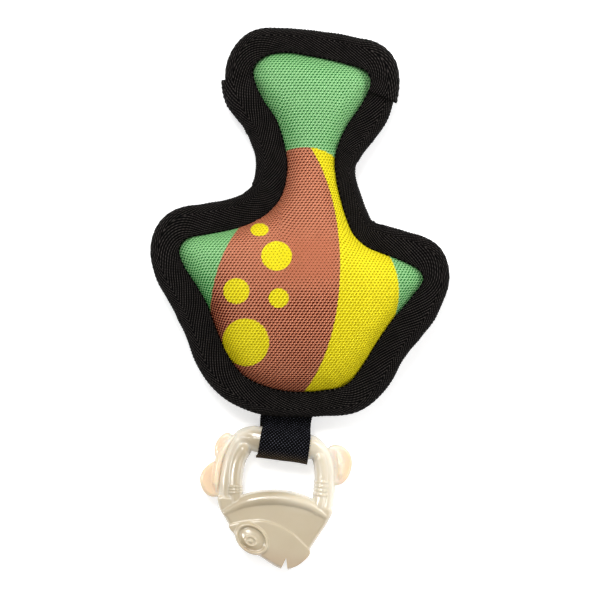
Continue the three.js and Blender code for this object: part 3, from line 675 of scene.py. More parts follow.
# %% The folded tape's cross section, and the strips laid along the edge
tape_half = 3.0 * MM
tape_wall = 1.3 * MM
flare = 0.75 * MM
puff = 0.35 * MM
scallop_pitch = 1.45 * MM
overlap = 8 * MM
overlap_growth = 2.05 * MM
ramp = 9 * MM
tail_start = 0.043 * edge_length
body_start = 0.188 * edge_length


def grown(since):
    """How much a strip stands off where it lies on the other's end, by the length since its start"""
    return overlap_growth * min(1.0, max(0.0, 1 - (since - overlap) / ramp))


def tape_section(growth):
    """Points from the front's inner edge round the fold to the back's: out, and up"""
    half = tape_half + growth
    leg_end = tape_width - tape_half
    leg = [(0.2 * MM, half + flare)]
    for share in (0.05, 0.12, 0.22, 0.36, 0.5, 0.64, 0.78, 0.9):
        fall = flare * max(0, 1 - share / 0.25) ** 2
        leg.append((share * leg_end, half + puff * math.sin(math.pi * share) + fall))
    nose = []
    for step in range(13):
        angle = math.pi * (0.5 - step / 12)
        nose.append((leg_end + half * math.cos(angle), half * math.sin(angle)))
    return leg + nose + [(out, -up) for out, up in reversed(leg)]


def between(values, stop):
    """A value of the edge at a length along it, between its two nearest points"""
    share = stop / edge_length * len(edge)
    low = math.floor(share)
    part = share - low
    return values[low % len(edge)] * (1 - part) + values[(low + 1) % len(edge)] * part


def tape_strip(name, start, end, material):
    """A strip of folded tape between two lengths along the edge"""
    stops = np.linspace(start, end, round((end - start) / (0.5 * MM)))
    sections = [tape_section(grown(stop - start)) for stop in stops]
    widths = lengths_along(np.array(sections[0]))
    shape = bmesh.new()
    bmesh.ops.create_grid(shape, x_segments=len(stops) - 1, y_segments=len(widths) - 1, size=0.5)
    verts = np.array(list(shape.verts), object).reshape(len(widths), len(stops))
    for stop, section, column in zip(stops, sections, verts.T):
        point, outward, seam = (between(values, stop) for values in (edge_line, edge_outward, edge_seam))
        share = stop / edge_length * len(edge)
        reach = edge_reach[math.floor(share) % len(edge)]
        crowd = crowding[int(round(share)) % len(edge)]
        calm = 1 - 0.8 * crowd
        scallop = 0.5 - 0.5 * math.cos(2 * math.pi * stop / scallop_pitch)
        scallop *= (0.15 + 0.15 * calm) * MM
        for (out, up), vert in zip(section, column):
            side = math.copysign(1, up)
            spot = Vector((stop / (7 * MM), out / (9 * MM), 3 * side))
            wander = noise.noise(spot) * (0.28 + 0.5 * crowd) * MM
            fold_share = max(0.0, (out - 0.7 * tape_width) / (0.3 * tape_width))
            flat = point + outward * (out * reach + (scallop + wander * 0.6 * calm) * fold_share)
            lift = side * wander * min(1, abs(up) / tape_half)
            vert.co = (flat[0], flat[1], max(0.05 * MM, seam + up + lift))
    piece = new_piece(name, shape, material)
    give(piece, "along", np.tile(stops, len(widths)))
    give(piece, "across", np.repeat(widths, len(stops)))
    thicken(piece, tape_wall)
    return settle(piece)


# %% [markdown]
# ## Twill tape
# The tape's ribs run slantwise along it and turn back near the fold, like the bones of a fish.
# The tape is black, and the crowns of its ribs are drawn lighter than the grooves, a painted highlight,
# more where they are worn. Along its fold round the bar the webbing is drawn browner and lighter.


# %% Twill whose rib turns back, for the tape, and straight twill for the webbing
def twill(name, rib_pitch, slant, turn_at, middle, broken, crown, groove, fold=None):
    """Ribs that lean one way and then the other, each broken into beads by a share"""
    finish = Finish(name)
    along = finish.attribute("along")
    across = finish.attribute("across")
    from_turn = ((across - middle).size() - turn_at).size()
    phase = from_turn * math.cos(slant) + along * math.sin(slant)
    length = along * math.cos(slant) - from_turn * math.sin(slant)
    rib = phase.wave(rib_pitch)
    yarn = length.wave(rib_pitch)
    height = rib * (yarn * broken + 1 - broken)
    wear_and_sheen = finish.noise(4 * MM, detail=3.0)
    # The ribs' crowns are drawn lighter, a painted highlight, stronger where the cloth is worn
    light = height * height * height * height * (wear_and_sheen * 1.6 + 0.3)
    if fold:
        # Along the fold round the bar the webbing is drawn browner and lighter
        toward_fold = (1 - (along - fold).size() / (9 * MM)).larger(0)
        crown = finish.blend(toward_fold * 2, crown, srgb(132, 112, 88))
        light = light * (toward_fold + 1) + toward_fold * 0.14
    colour = finish.blend(light, groove, crown)
    return finish.shade(
        base_color=colour,
        roughness=0.7 - height * 0.15,
        normal=finish.relief(height, 0.6 * MM),
        specular_ior_level=0.03,
    )


tape_finish = twill(
    "edge_tape",
    rib_pitch=1.15 * MM,
    slant=math.radians(28),
    turn_at=5 * MM,
    middle=lengths_along(np.array(tape_section(0)))[-1] / 2,
    broken=0.3,
    crown=srgb(71, 66, 63),
    groove=srgb(1, 1, 1),
)

# %% The two strips, each starting on top of the other's end
body_tape = tape_strip("body_tape", body_start, edge_length + tail_start + overlap, tape_finish)
tail_tape = tape_strip("tail_tape", tail_start, body_start + overlap, tape_finish)
for piece, node in ((body_tape, "body_binding"), (tail_tape, "tail_binding")):
    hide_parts(node)
    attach(piece, "cover")
    print(piece.name, count_triangles(piece), "triangles")

# %% [markdown]
# ## The stitching
# A row of black stitches runs along the tape's inner edge, through both sides. Each stitch is a
# short bead of thread, sunk at both ends. Where the tab is sewn in, three rows of close stitches
# cross the tape.

# %% Beads of thread along the tape
def add_stitch(shape, middle, direction, length):
    made = bmesh.ops.create_icosphere(shape, subdivisions=1, radius=0.5)["verts"]
    turn = direction.to_track_quat("X", "Z").to_matrix().to_4x4()
    size = Matrix.Diagonal((length, thread_width, thread_width, 1))
    bmesh.ops.transform(shape, matrix=Matrix.Translation(middle) @ turn @ size, verts=made)


stitch_spacing = 3.1 * MM
stitch_length = 2.3 * MM
row_from_edge = 2.4 * MM
cross_stitch_spacing = 0.62 * MM
cross_stitch_length = 1.6 * MM
thread_width = 0.5 * MM
tab_rows = -13.5 * MM, -4.5 * MM, 4 * MM
head_end = -48 * MM


def on_tape(stop, out, side):
    """A place on the tape's face, out from the cloth's edge, and the way the edge runs there"""
    place = int(stop / edge_length * len(edge)) % len(edge)
    starts = [stop - start for start in (body_start, tail_start, body_start - edge_length)]
    since = min(value for value in starts if value >= 0)
    puffed = puff * math.sin(math.pi * out / (tape_width - tape_half)) + 0.04 * MM
    up = tape_half + grown(since) + puffed
    flat = edge_line[place] + edge_outward[place] * out * edge_reach[place]
    return Vector((*flat, edge_seam[place] + side * up)), Vector((*edge_tangent[place], 0))


def sew(material):
    shape = bmesh.new()
    for side in (1, -1):
        for stop in np.arange(0, edge_length, stitch_spacing):
            middle, direction = on_tape(stop, row_from_edge, side)
            add_stitch(shape, middle, direction, stitch_length)
        for row in tab_rows:
            below = np.hypot(*(edge_line - (row, head_end)).T).argmin()
            for out in np.arange(1.2 * MM, tape_width - tape_half, cross_stitch_spacing):
                middle, direction = on_tape(below / len(edge) * edge_length, out, side)
                add_stitch(shape, middle, direction, cross_stitch_length)
    return new_piece("stitching", shape, material)


thread_finish = Finish("thread")
twist = thread_finish.noise(0.3 * MM, detail=2.0)
stitching = sew(
    thread_finish.shade(
        base_color=thread_finish.blend(twist, srgb(5, 5, 5), srgb(27, 26, 26)),
        roughness=0.5 + twist * 0.2,
        normal=thread_finish.relief(twist, 0.1 * MM),
        specular_ior_level=0.1,
    )
)
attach(stitching, "cover")
print("stitching", count_triangles(stitching), "triangles")

# %% [markdown]
# ## The tab
# The tab is one strip of webbing, folded in half round the ring's bar, with both ends sewn to the
# back of the tape. Its side view is a line: along the upper layer, round the bar and back along
# the lower layer. The model's joints say where the bar and the fold are.

# %% The place and slant of the tab
joints = {joint["name"]: joint for joint in frame["joints"]}
bar = Vector(joints["ring_swing"]["pos_m"])
fold = Vector(joints["tab_fold"]["pos_m"])
across_tab = Vector(joints["ring_swing"]["axis"]).normalized()
up_tab = Vector((0, 0, 1)).cross(across_tab)
hanger = Matrix((across_tab, up_tab, (0, 0, 1))).transposed().to_4x4()
hanger.translation = bar
fold_reach = (fold - bar).length
webbing_width = 25 * MM
webbing_wall = 1.2 * MM
layer_gap = 0.68 * MM
loop_radius = 7.95 * MM


def tab_line():
    """The webbing's side view: y along the tab and z up, from the upper layer's end to the lower's"""
    far = fold_reach + 12 * MM
    angle = math.acos((loop_radius - layer_gap) / fold_reach)
    line = [(far, layer_gap), (fold_reach + 3 * MM, layer_gap), (fold_reach, layer_gap)]
    for step in range(41):
        turn = angle + (2 * math.pi - 2 * angle) * step / 40
        line.append((loop_radius * math.cos(turn), loop_radius * math.sin(turn)))
    line += [(fold_reach, -layer_gap), (fold_reach + 3 * MM, -layer_gap), (far, -layer_gap)]
    return spread_evenly(np.array(line), 0.35 * MM, closed=False)


# %% The webbing folded round the bar
def webbing_strip(name, material):
    line, stops, length = tab_line()
    columns = 24
    shape = bmesh.new()
    bmesh.ops.create_grid(shape, x_segments=columns, y_segments=len(line) - 1, size=0.5)
    along, across = [], []
    for index, vert in enumerate(list(shape.verts)):
        row, column = divmod(index, columns + 1)
        share = column / columns - 0.5
        y, z = line[row]
        stop = stops[row]
        # The strip is drawn in between its seam and its fold, and its lower layer lies askew
        waist_in = 0.9 * MM * math.sin(math.pi * min(1, stop / (24 * MM))) ** 2
        scallop = 0.14 * MM * math.cos(2 * math.pi * stop / (1.3 * MM))
        askew = -2.2 * MM * max(0.0, (stop / length - 0.6) / 0.4)
        wander = noise.noise(Vector((share * 2, stop / (9 * MM), 5))) * 0.3 * MM
        corner = 1.6 * MM * math.exp(-((stop - length / 2) / (3 * MM)) ** 2) * max(0.0, -share)
        x = share * (webbing_width - 2 * waist_in + 2 * scallop) + askew - corner
        normal = (z, -y)
        if row:
            normal = (z - line[row - 1][1], line[row - 1][0] - y)
        size = math.hypot(*normal) or 1
        bow = wander - 0.25 * MM * (2 * share) ** 2
        local = Vector((x, y - normal[0] / size * bow, z - normal[1] / size * bow))
        vert.co = hanger @ local
        vert.co.z = max(vert.co.z, 0.55 * webbing_wall)
        along.append(stop)
        across.append(x)
    piece = new_piece(name, shape, material)
    give(piece, "along", along)
    give(piece, "across", across)
    thicken(piece, webbing_wall, offset=0)
    return settle(piece)


webbing_finish = twill(
    "webbing",
    rib_pitch=1.25 * MM,
    slant=math.radians(45),
    turn_at=0.0,
    middle=-60 * MM,
    broken=0.85,
    crown=srgb(97, 98, 110),
    groove=srgb(2, 2, 2),
    fold=tab_line()[2] / 2,
)
tab = webbing_strip("webbing_tab", webbing_finish)
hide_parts("tab_loop", "tab_anchor")
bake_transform(tab)
print("webbing_tab", count_triangles(tab), "triangles")

# %% [markdown]
# ## The chew ring
# The ring is one hard moulding: a bar for the webbing, two arms, a fat arch and a fish's head.
# Such a moulding has soft corners everywhere, where its forms flow into each other. So it is
# made as a heap of closed forms that pass through each other, which a voxel remesh turns into
# one skin and a little smoothing rounds off. Points and sizes below are in millimetres from the
# middle of the bar, except for the outlines, which are shares of the ring's width and drop.

# %% Outlines of the ring and of its nubs
ring_width = 58.6 * MM
ring_drop = 62.3 * MM
head_shares = [
    (0.48, -0.47), (0.457, -0.57), (0.399, -0.685), (0.324, -0.833), (0.252, -0.945), (0.174, -0.998),
    (0.085, -0.99), (-0.063, -0.928), (-0.193, -0.876), (-0.304, -0.795), (-0.362, -0.721),
    (-0.415, -0.655), (-0.478, -0.578), (-0.5, -0.48), (-0.302, -0.47), (0.034, -0.4), (0.3, -0.42),
]
face_shares = [
    (-0.375, -0.71), (-0.29, -0.675), (-0.22, -0.655), (-0.102, -0.634), (0.032, -0.647), (0.12, -0.678),
    (0.196, -0.713), (0.27, -0.765), (0.345, -0.83), (0.29, -0.92), (0.21, -0.975), (0.12, -0.98),
    (-0.05, -0.92), (-0.18, -0.865), (-0.3, -0.785),
]
nub_left_shares = [
    (-0.44, -0.03), (-0.46, 0.016), (-0.503, 0.024), (-0.556, -0.016), (-0.587, -0.09), (-0.579, -0.16),
    (-0.562, -0.2), (-0.614, -0.244), (-0.666, -0.313), (-0.674, -0.385), (-0.631, -0.465),
    (-0.572, -0.501), (-0.512, -0.498), (-0.47, -0.47), (-0.468, -0.3), (-0.452, -0.16),
]
nub_right_shares = [
    (0.35, -0.03), (0.386, 0.032), (0.435, 0.051), (0.503, 0.04), (0.568, -0.01), (0.594, -0.083),
    (0.585, -0.169), (0.546, -0.241), (0.486, -0.273), (0.43, -0.262), (0.404, -0.22), (0.38, -0.12),
]


def ring_line(shares, spacing=0.8 * MM):
    points = [(x * ring_width, y * ring_drop) for x, y in shares]
    return spread_evenly(smooth_loop(points, 16), spacing)[0]


# %% Closed forms of the ring
def next_ring(shape, ring, edges):
    """Extrudes a closed ring of edges, and gives its new corners in the old ones' order"""
    made = bmesh.ops.extrude_edge_only(shape, edges=edges)["geom"]
    fresh = {vert.co.copy().freeze(): vert for vert in made if isinstance(vert, bmesh.types.BMVert)}
    edges = [edge for edge in made if isinstance(edge, bmesh.types.BMEdge)]
    return [fresh[vert.co.copy().freeze()] for vert in ring], edges


def loft(shape, sections):
    """A closed form through sections that all have as many corners"""
    ring = [shape.verts.new(place) for place in sections[0]]
    edges = [shape.edges.new(pair) for pair in zip(ring, ring[1:] + ring[:1])]
    shape.faces.new(ring)
    for section in sections[1:]:
        ring, edges = next_ring(shape, ring, edges)
        for vert, place in zip(ring, section):
            vert.co = place
    shape.faces.new(ring)


def slab(shape, line, half, rounding, steps=5):
    """A plate with this outline, twice half thick, its rims rounded over a quarter circle"""
    tangent = np.roll(line, -1, 0) - np.roll(line, 1, 0)
    outward = np.stack([tangent[:, 1], -tangent[:, 0]], 1) / np.linalg.norm(tangent, axis=1)[:, None]
    turned_left = (line[:, 0] * np.roll(line[:, 1], -1) - line[:, 1] * np.roll(line[:, 0], -1)).sum()
    outward *= math.copysign(1, turned_left)
    stops = []
    for step in range(steps + 1):
        angle = math.pi / 2 * step / steps
        stops.append((rounding * (math.sin(angle) - 1), half - rounding * (1 - math.cos(angle))))
    stops += [(out, -height) for out, height in reversed(stops)]
    loft(shape, [[(*place, height) for place in line + outward * out] for out, height in stops])


def sweep(shape, points, sizes, sides=20, steps=48):
    """An oval tube through points, half as wide and as high at each as sizes say, in millimetres"""
    path = smooth_path(points, steps)
    shares = np.linspace(0, 1, len(sizes))
    widths, heights = (np.interp(np.linspace(0, 1, steps), shares, column) * MM for column in zip(*sizes))
    ahead = np.gradient(path, axis=0)
    aside = np.stack([-ahead[:, 1], ahead[:, 0]], 1) / np.linalg.norm(ahead, axis=1)[:, None]
    angles = np.linspace(0, 2 * math.pi, sides, endpoint=False)
    sections = []
    for place, side, width, height in zip(path, aside, widths, heights):
        sections.append([(*(place + side * width * math.cos(a)), height * math.sin(a)) for a in angles])
    loft(shape, sections)


def smooth_path(points, steps):
    """An open smooth line through points given in millimetres"""
    ends = np.array(points, float) * MM
    longer = np.vstack([2 * ends[0] - ends[1], ends, 2 * ends[-1] - ends[-2]])
    line = smooth_loop(longer, 12)[12 : 12 * len(ends) + 1]
    lengths = lengths_along(line)
    return at_lengths(np.linspace(0, lengths[-1], steps), line, lengths)


def turned(shape, profile, place, steps=64):
    """A form turned on a lathe from radii and heights in millimetres, the same on both sides"""
    lathe = bmesh.new()
    side = profile + [(radius, -height) for radius, height in reversed(profile)]
    verts = [lathe.verts.new((radius * MM, 0, height * MM)) for radius, height in side]
    edges = [lathe.edges.new(pair) for pair in zip(verts, verts[1:])]
    settings = {"axis": (0, 0, 1), "cent": (0, 0, 0), "angle": 2 * math.pi, "steps": steps}
    bmesh.ops.spin(lathe, geom=verts + edges, use_merge=True, **settings)
    bmesh.ops.remove_doubles(lathe, verts=lathe.verts, dist=0.001 * MM)
    bmesh.ops.transform(lathe, matrix=place, verts=lathe.verts)
    copy = bpy.data.meshes.new("turned")
    lathe.to_mesh(copy)
    lathe.free()
    shape.from_mesh(copy)
    bpy.data.meshes.remove(copy)


# %% [markdown]
# ## From a heap of forms to one skin
# A voxel is about a fifth of the finest rib's pitch, small enough to keep the rib and large enough
# to round what a mould would round. The smoothing afterwards takes the steps out of the skin.


# %% A remeshed skin, and a mould's soft corners
most_triangles = 180_000


def one_skin(piece, voxel, rounds):
    """The piece's forms as one skin, smoothed a number of times, to be worked on"""
    modify(piece, "REMESH", mode="VOXEL", voxel_size=voxel)
    settle(piece)
    shape = bmesh.new()
    shape.from_mesh(piece.data)
    freedom = {"use_axis_x": True, "use_axis_y": True, "use_axis_z": True}
    for _ in range(rounds):
        bmesh.ops.smooth_vert(shape, verts=shape.verts, factor=0.5, **freedom)
    return shape


def moulded(name, shape, voxel, material):
    bmesh.ops.recalc_face_normals(shape, faces=shape.faces)
    bmesh.ops.transform(shape, matrix=hanger, verts=shape.verts)
    piece = new_piece(name, shape, material)
    shape = one_skin(piece, voxel, rounds=2)
    shape.to_mesh(piece.data)
    shape.free()
    if count_triangles(piece) > most_triangles:
        modify(piece, "DECIMATE", ratio=most_triangles / count_triangles(piece))
        settle(piece)
    piece.data.shade_smooth()
    print(name, count_triangles(piece), "triangles")
    return piece


def ribbed(count, first, last, ends, middle, rise):
    """Sizes along an arm, with small ribs between two shares of its length"""
    stops = [0, 0.14, 0.96, 1]
    sizes = []
    for share in np.linspace(0, 1, 121):
        inside = 0 < (share - first) / (last - first) < 1
        wave = 0.5 - 0.5 * math.cos(2 * math.pi * count * (share - first) / (last - first))
        lift = rise * wave if inside else 0
        width, height = (np.interp(share, stops, [end, mid, mid, end]) for end, mid in zip(ends, middle))
        sizes.append((width + lift, height + lift))
    return sizes


# %% The chew ring from its forms
def build_ring(material):
    shape = bmesh.new()
    slab(shape, ring_line(head_shares), half=5.8 * MM, rounding=2.4 * MM)
    slab(shape, ring_line(face_shares, 0.6 * MM), half=6.6 * MM, rounding=0.45 * MM)
    # The arch over the head
    arch = [
        (-25.6, -38.7), (-21.1, -35.2), (-16.6, -32.2), (-10.4, -29.6), (-3, -27.9), (5.1, -27.3),
        (13.5, -28.2), (19.2, -30), (26, -33.6),
    ]
    ends, middle = [(3.0, 6.3), (3.6, 7.1), (4.1, 7.8)], (4.4, 8.1)
    sweep(shape, arch, ends + [middle] * 3 + ends[::-1], sides=28, steps=80)
    # The bar that the webbing goes round, and the shoulders at its ends
    bar_line = [(-24, -0.6), (-19, 0.6), (-13, 0.4), (0, 0), (13, 0), (17, -1.2), (20.5, -3.6)]
    thick = [(6.95, 6.9)] * 3
    sweep(shape, bar_line, [(3.5, 4.2), (6.4, 6.2), *thick, (6.2, 6.2), (3.6, 4.6)], sides=28)
    # The left arm has a ridge inside and a lower shoulder outside
    inner = [
        (-16.5, -1.5), (-19.8, -5.2), (-22.0, -10.5), (-22.6, -17), (-22.2, -23), (-21.0, -30), (-19, -36),
    ]
    ribs = ribbed(3, first=0.66, last=0.78, ends=(2.6, 4.0), middle=(4.2, 6.4), rise=0.5)
    sweep(shape, inner, ribs, steps=120)
    outer = [
        (-19.6, 2.4), (-23.8, -2.2), (-26.0, -9), (-26.7, -17), (-26.5, -26), (-25.2, -33), (-23.2, -37),
    ]
    sizes = [(3.0, 4.4), (3.3, 4.8), (3.4, 4.9), (3.6, 5.2), (3.6, 5.6), (3.4, 5.4), (2.2, 4.6)]
    sweep(shape, outer, sizes)
    # The right arm has its ridge inside too
    inner = [(15.2, -0.6), (18.2, -4), (20.2, -9.5), (21.2, -15), (21.6, -21), (21.4, -28), (20.0, -34)]
    ribs = ribbed(4, first=0.46, last=0.7, ends=(2.8, 4.4), middle=(4.0, 6.4), rise=0.45)
    sweep(shape, inner, ribs, steps=120)
    outer = [(16.5, 2.2), (20.8, -2.4), (23.9, -9), (24.9, -16), (25.3, -23), (25.3, -30), (23.5, -35.5)]
    sizes = [(2.6, 4.2), (2.8, 4.6), (2.8, 4.8), (2.9, 5.0), (3.0, 5.4), (2.9, 5.4), (2.0, 4.8)]
    sweep(shape, outer, sizes)
    # The eye stands out at the edge of the head, and its pupil sits low in the lens
    eye = Matrix.Translation((-9.6 * MM, -49.2 * MM, 0)) @ Matrix.Rotation(math.radians(-33), 4, "Z")
    lens = [
        (0, 7.7), (2.0, 7.75), (4.0, 7.65), (5.2, 7.35), (6.0, 6.9), (6.4, 6.3), (6.7, 5.6), (7.1, 5.6),
        (7.4, 7.0), (7.7, 8.0), (8.1, 8.4), (8.6, 8.4), (9.1, 7.9), (9.5, 7.0), (9.5, 5.0),
    ]
    turned(shape, lens, eye @ Matrix.Diagonal((1, 0.73, 1, 1)))
    pupil = [
        (0, 8.5), (1.1, 8.3), (1.5, 7.5), (2.1, 7.5), (2.5, 8.3), (2.9, 8.5), (3.4, 8.3), (3.8, 7.6),
        (3.9, 6.8),
    ]
    offset = Matrix.Translation((0.3 * MM, -1.1 * MM, 0)) @ Matrix.Rotation(math.radians(15), 4, "Z")
    turned(shape, pupil, eye @ offset @ Matrix.Diagonal((1, 0.72, 1, 1)))
    return cut_mouth(moulded("chew_ring_moulding", shape, 0.3 * MM, material))


# %% The mouth, a narrow wedge cut in from the tip of the jaws
def cut_mouth(piece):
    wedge = bmesh.new()
    corners = [(0.148, -0.905), (0.085, -1.09), (0.2, -1.09)]
    low = [wedge.verts.new((x * ring_width, y * ring_drop, -12 * MM)) for x, y in corners]
    made = bmesh.ops.extrude_face_region(wedge, geom=[wedge.faces.new(low)])["geom"]
    raised = [item for item in made if isinstance(item, bmesh.types.BMVert)]
    bmesh.ops.translate(wedge, vec=(0, 0, 24 * MM), verts=raised)
    bmesh.ops.recalc_face_normals(wedge, faces=wedge.faces)
    bmesh.ops.transform(wedge, matrix=hanger, verts=wedge.verts)
    cutter = new_piece("mouth_cutter", wedge, ring_finish)
    modify(piece, "BOOLEAN", operation="DIFFERENCE", object=cutter, solver="EXACT")
    settle(piece)
    bpy.data.objects.remove(cutter)
    # The cut's faces meet the skin at a crease, so the shading doesn't run on round it
    piece.data.set_sharp_from_angle(angle=math.radians(60))
    return piece


# %% [markdown]
# ## Hard and soft plastic
# The ring is a milky cream plastic with a soft shine. Moulded plastic is never even: its colour drifts
# slightly, and its gloss varies where the mould was worn. It is drawn darker and browner at the jaws. The
# right arm is drawn lighter, a painted light, and the thin rims near white, a painted glow. The nubs are a
# softer, clearer plastic, warmer at their outer ends.

# %% Two plastics
def hard_plastic():
    finish = Finish("hard_plastic")
    x, y, z = finish.place()
    drift = finish.noise(14 * MM, detail=3.0)
    along_ring = (x - bar.x) * up_tab.x + (y - bar.y) * up_tab.y
    slender = along_ring.step(-30 * MM, 8 * MM)
    colour = finish.blend(drift, srgb(189, 173, 145), srgb(201, 188, 161))
    jaws = 1 - along_ring.step(-55 * MM, 6 * MM)
    colour = finish.blend(jaws * 0.7, colour, srgb(186, 164, 138))
    # The arms are drawn lighter towards the right, a painted light from that side
    right = (x - bar.x).step(0, 14 * MM)
    arms = finish.blend(right, srgb(190, 176, 149), srgb(221, 210, 187))
    colour = finish.blend(slender, colour, arms)
    # The rims stand lower than the face, on both sides of the moulding's middle, and are drawn near white,
    # a painted glow
    painted_rim_glow = 1 - (z - bar.z).size().step(4.9 * MM, 1.3 * MM)
    colour = finish.blend(painted_rim_glow * 0.6, colour, srgb(250, 244, 230))
    parting = 1 - ((z - bar.z).size() / (0.18 * MM)).smaller(1)
    orange_peel = finish.noise(1.6 * MM, detail=1.0)
    return finish.shade(
        base_color=colour,
        roughness=finish.noise(5 * MM, detail=2.0) * 0.08 + 0.2,
        normal=finish.relief(orange_peel * 0.25 + parting, 0.05 * MM, 0.6),
        specular_ior_level=0.6,
        coat_weight=0.6,
        coat_roughness=0.15,
        subsurface_weight=0.3,
        subsurface_radius=(0.003, 0.0024, 0.0017),
        subsurface_scale=1.0,
    )


def soft_plastic():
    finish = Finish("soft_plastic")
    x, y, _ = finish.place()
    outward = ((x - bar.x) * across_tab.x + (y - bar.y) * across_tab.y).size()
    drift = finish.noise(6 * MM, detail=2.0) * 0.3
    share = (outward - 28 * MM) / (6 * MM) + drift
    colour = finish.blend(share, srgb(241, 228, 210), srgb(242, 214, 181))
    return finish.shade(
        base_color=colour,
        roughness=finish.noise(2 * MM, detail=1.0) * 0.1 + 0.24,
        normal=finish.relief(finish.noise(1.2 * MM, detail=1.0), 0.03 * MM, 0.5),
        subsurface_weight=0.4,
        subsurface_radius=(0.006, 0.003, 0.0015),
        subsurface_scale=1.0,
        coat_weight=0.3,
        coat_roughness=0.12,
    )


ring_finish = hard_plastic()
nub_finish = soft_plastic()
ring = build_ring(ring_finish)
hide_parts("chew_ring")
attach(ring, "ring")

# %% The soft nubs, each a rounded plate with a ridge that grips the arm
left_ridge = [
    (-24.2, 2.2), (-26.8, -1.6), (-29.3, -5.4), (-31.0, -11), (-31.7, -17.7), (-31.5, -24), (-30.0, -30),
]
left_sizes = [(0.6, 1.5), (1.7, 4.4), (2.2, 5.4), (2.2, 5.6), (2.2, 5.6), (2.0, 5.2), (0.7, 2.0)]
right_ridge = [(24.6, 2.4), (27.4, -1.6), (29.2, -6.8), (29.7, -11.1), (29.0, -16)]
right_sizes = [(0.6, 1.5), (1.9, 4.2), (2.2, 4.8), (1.9, 4.4), (0.6, 1.5)]
for name, node, shares, ridge, sizes in (
    ("left_nub", "soft_nub_left", nub_left_shares, left_ridge, left_sizes),
    ("right_nub", "soft_nub_right", nub_right_shares, right_ridge, right_sizes),
):
    shape = bmesh.new()
    slab(shape, ring_line(shares, 0.6 * MM), half=2.5 * MM, rounding=1.7 * MM)
    sweep(shape, ridge, sizes)
    nub = moulded(name, shape, 0.25 * MM, nub_finish)
    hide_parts(node)
    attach(nub, "ring")

# %% [markdown]
# ## What is hidden inside
# Nobody sees the filling or the squeaker until the toy is torn open, but they are part of the
# model. The filling is made lumpy, as teased fibre is, from a remeshed copy of the model's own
# wad. The squeaker's pieces keep their shapes and get the finish of thin blown plastic.


# %% Finishes for the inside
def fibre():
    finish = Finish("fibre")
    strands = finish.noise(0.8 * MM, detail=6.0, roughness=0.8)
    lumps = finish.noise(9 * MM, detail=2.0)
    colour = finish.blend(strands, srgb(214, 212, 206), srgb(248, 247, 243))
    relief = finish.relief(strands + lumps, 0.8 * MM)
    return finish.shade(base_color=colour, roughness=0.95, normal=relief, sheen_weight=0.3)


def blown_plastic(name, dark, light):
    finish = Finish(name)
    flow = finish.noise(3 * MM, detail=3.0)
    return finish.shade(
        base_color=finish.blend(flow, dark, light),
        roughness=flow * 0.15 + 0.25,
        normal=finish.relief(flow, 0.08 * MM, 0.5),
        specular_ior_level=0.5,
    )


fibre_finish = fibre()
squeaker_finish = blown_plastic("squeaker_plastic", srgb(206, 214, 220), srgb(230, 236, 240))
reed_finish = blown_plastic("reed_plastic", srgb(186, 192, 198), srgb(214, 220, 224))
for finish, nodes in (
    (squeaker_finish, ("squeaker_base", "squeaker_cap")),
    (reed_finish, ("reed_housing", "reed_block", "reed")),
):
    for node in nodes:
        materials = frame["nodes"][node].data.materials
        materials.clear()
        materials.append(finish)


# %% The bellows, a copy of the model's own
def copy_of(node):
    shape = mesh_of(node)
    bmesh.ops.remove_doubles(shape, verts=shape.verts, dist=0.001 * MM)
    return shape


bellows = new_piece("bellows", copy_of("squeaker_bellows"), squeaker_finish)
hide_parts("squeaker_bellows")
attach(bellows, "cover")
low, high = (corner[2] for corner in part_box("squeaker_bellows"))
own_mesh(bellows)


# %% The filling, teased from the model's wads
def wad(name, node):
    piece = new_piece(name, copy_of(node), fibre_finish)
    shape = one_skin(piece, voxel=1.6 * MM, rounds=1)
    shape.normal_update()
    for vert in shape.verts:
        lump = noise.noise(vert.co / (6 * MM)) - 0.5
        vert.co += vert.normal * (lump * 0.5 * MM - 0.35 * MM)
    shape.to_mesh(piece.data)
    shape.free()
    piece.data.shade_smooth()
    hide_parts(node)
    print(name, count_triangles(piece), "triangles")
    return piece


front_wad = wad("front_wad", "front_fill")
back_wad = wad("back_wad", "back_fill")
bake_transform(front_wad)
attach(back_wad, "cover")

# %% [markdown]
# ## The table, the light and the camera
# The toy lies on white paper, seen from straight above through a long lens. One large soft lamp
# stands towards the tail, so that the ridges of the ring shine on their upper sides and the lower
# slopes of the belly fall a little darker. Two small lamps lift the right side, and the sky fills
# the rest. Two narrow strips give the ring its long highlights and leave the cloth alone.

# %% The paper, which glows a little to the camera alone and so looks white
def paper():
    finish = Finish("paper")
    seen = finish.node("ShaderNodeLightPath", output="Is Camera Ray")
    mirrored = finish.node("ShaderNodeLightPath", output="Is Glossy Ray")
    through = finish.node("ShaderNodeLightPath", output="Is Transmission Ray")
    shown = seen.larger(mirrored * 0.75).larger(through * 0.75)
    matt = finish.node("ShaderNodeBsdfDiffuse", inputs={"Color": (0.86, 0.86, 0.86)})
    glow = finish.node("ShaderNodeEmission", inputs={"Color": (1, 1, 1), "Strength": shown * 0.55})
    both = finish.node("ShaderNodeAddShader", inputs={0: matt, 1: glow})
    return finish.end_with(both)


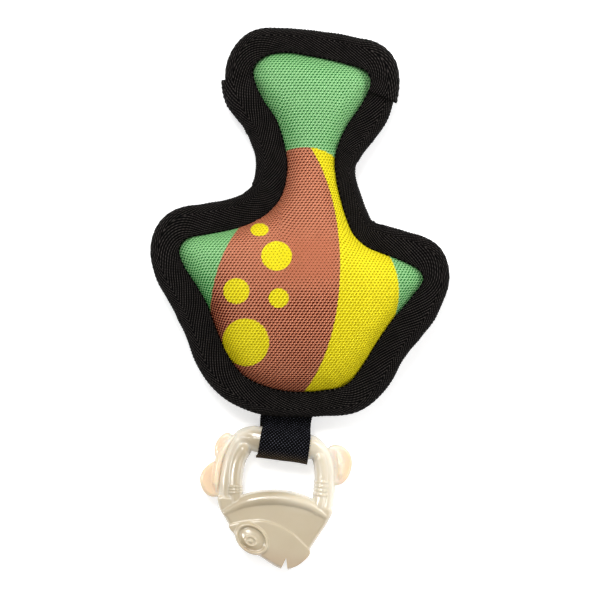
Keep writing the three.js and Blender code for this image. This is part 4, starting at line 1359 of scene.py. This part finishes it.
floor_shape = bmesh.new()
bmesh.ops.create_grid(floor_shape, x_segments=1, y_segments=1, size=4)
floor_mesh = bpy.data.meshes.new("paper")
floor_shape.to_mesh(floor_mesh)
floor_shape.free()
floor_mesh.materials.append(paper())
floor = bpy.data.objects.new("paper", floor_mesh)
scene.collection.objects.link(floor)


# %% Lamps
def lamp(name, place, width, height, power, only_shine=False):
    """A soft box that faces the toy, with its height running along the toy"""
    light = bpy.data.lights.new(name, "AREA")
    set_all(light, shape="RECTANGLE", size=width, size_y=height, energy=power)
    holder = bpy.data.objects.new(name, light)
    holder.location = place
    holder.rotation_euler = (-Vector(place)).to_track_quat("-Z", "Y").to_euler()
    holder.visible_diffuse = not only_shine
    scene.collection.objects.link(holder)


lamp("key", (-0.4, 1.4, 2.2), width=1.0, height=1.0, power=45)
lamp("right key", (0.8, 0.6, 0.5), width=0.4, height=0.4, power=2.5)
lamp("right fill", (1.0, -0.4, 0.5), width=0.5, height=0.5, power=2.8)
lamp("left strip", (-0.95, 0.0, 0.8), width=0.2, height=0.9, power=11, only_shine=True)
lamp("crest strip", (-0.2, 0.3, 1.5), width=0.14, height=0.6, power=3.0, only_shine=True)


# %% A sky that is brightest low down and towards the tail
sky = Finish("sky", bpy.data.worlds.new("sky"), "ShaderNodeOutputWorld")
towards = sky.node("ShaderNodeTexCoord", output="Generated")
x, y, z = (sky.node("ShaderNodeSeparateXYZ", inputs={0: towards}, output=k) for k in "XYZ")
stops = [(0, (1, 1, 1)), (0.8, (0.45, 0.45, 0.45))]
brightness = sky.node("ShaderNodeValToRGB", {"stops": stops}, {0: z + y * -0.2})
glow = sky.node("ShaderNodeBackground", inputs={"Color": brightness, "Strength": 0.9})
scene.world = sky.end_with(glow)

# %% The camera, straight above the toy's upper side
lens_distance = 2.6
seen_width = 0.3
middle_height = 14 * MM
camera_data = bpy.data.cameras.new("camera")
camera_data.lens = camera_data.sensor_width * lens_distance / seen_width
camera_data.clip_end = 20
camera = bpy.data.objects.new("camera", camera_data)
camera.location = (0, 0, lens_distance + middle_height)
scene.collection.objects.link(camera)
scene.camera = camera
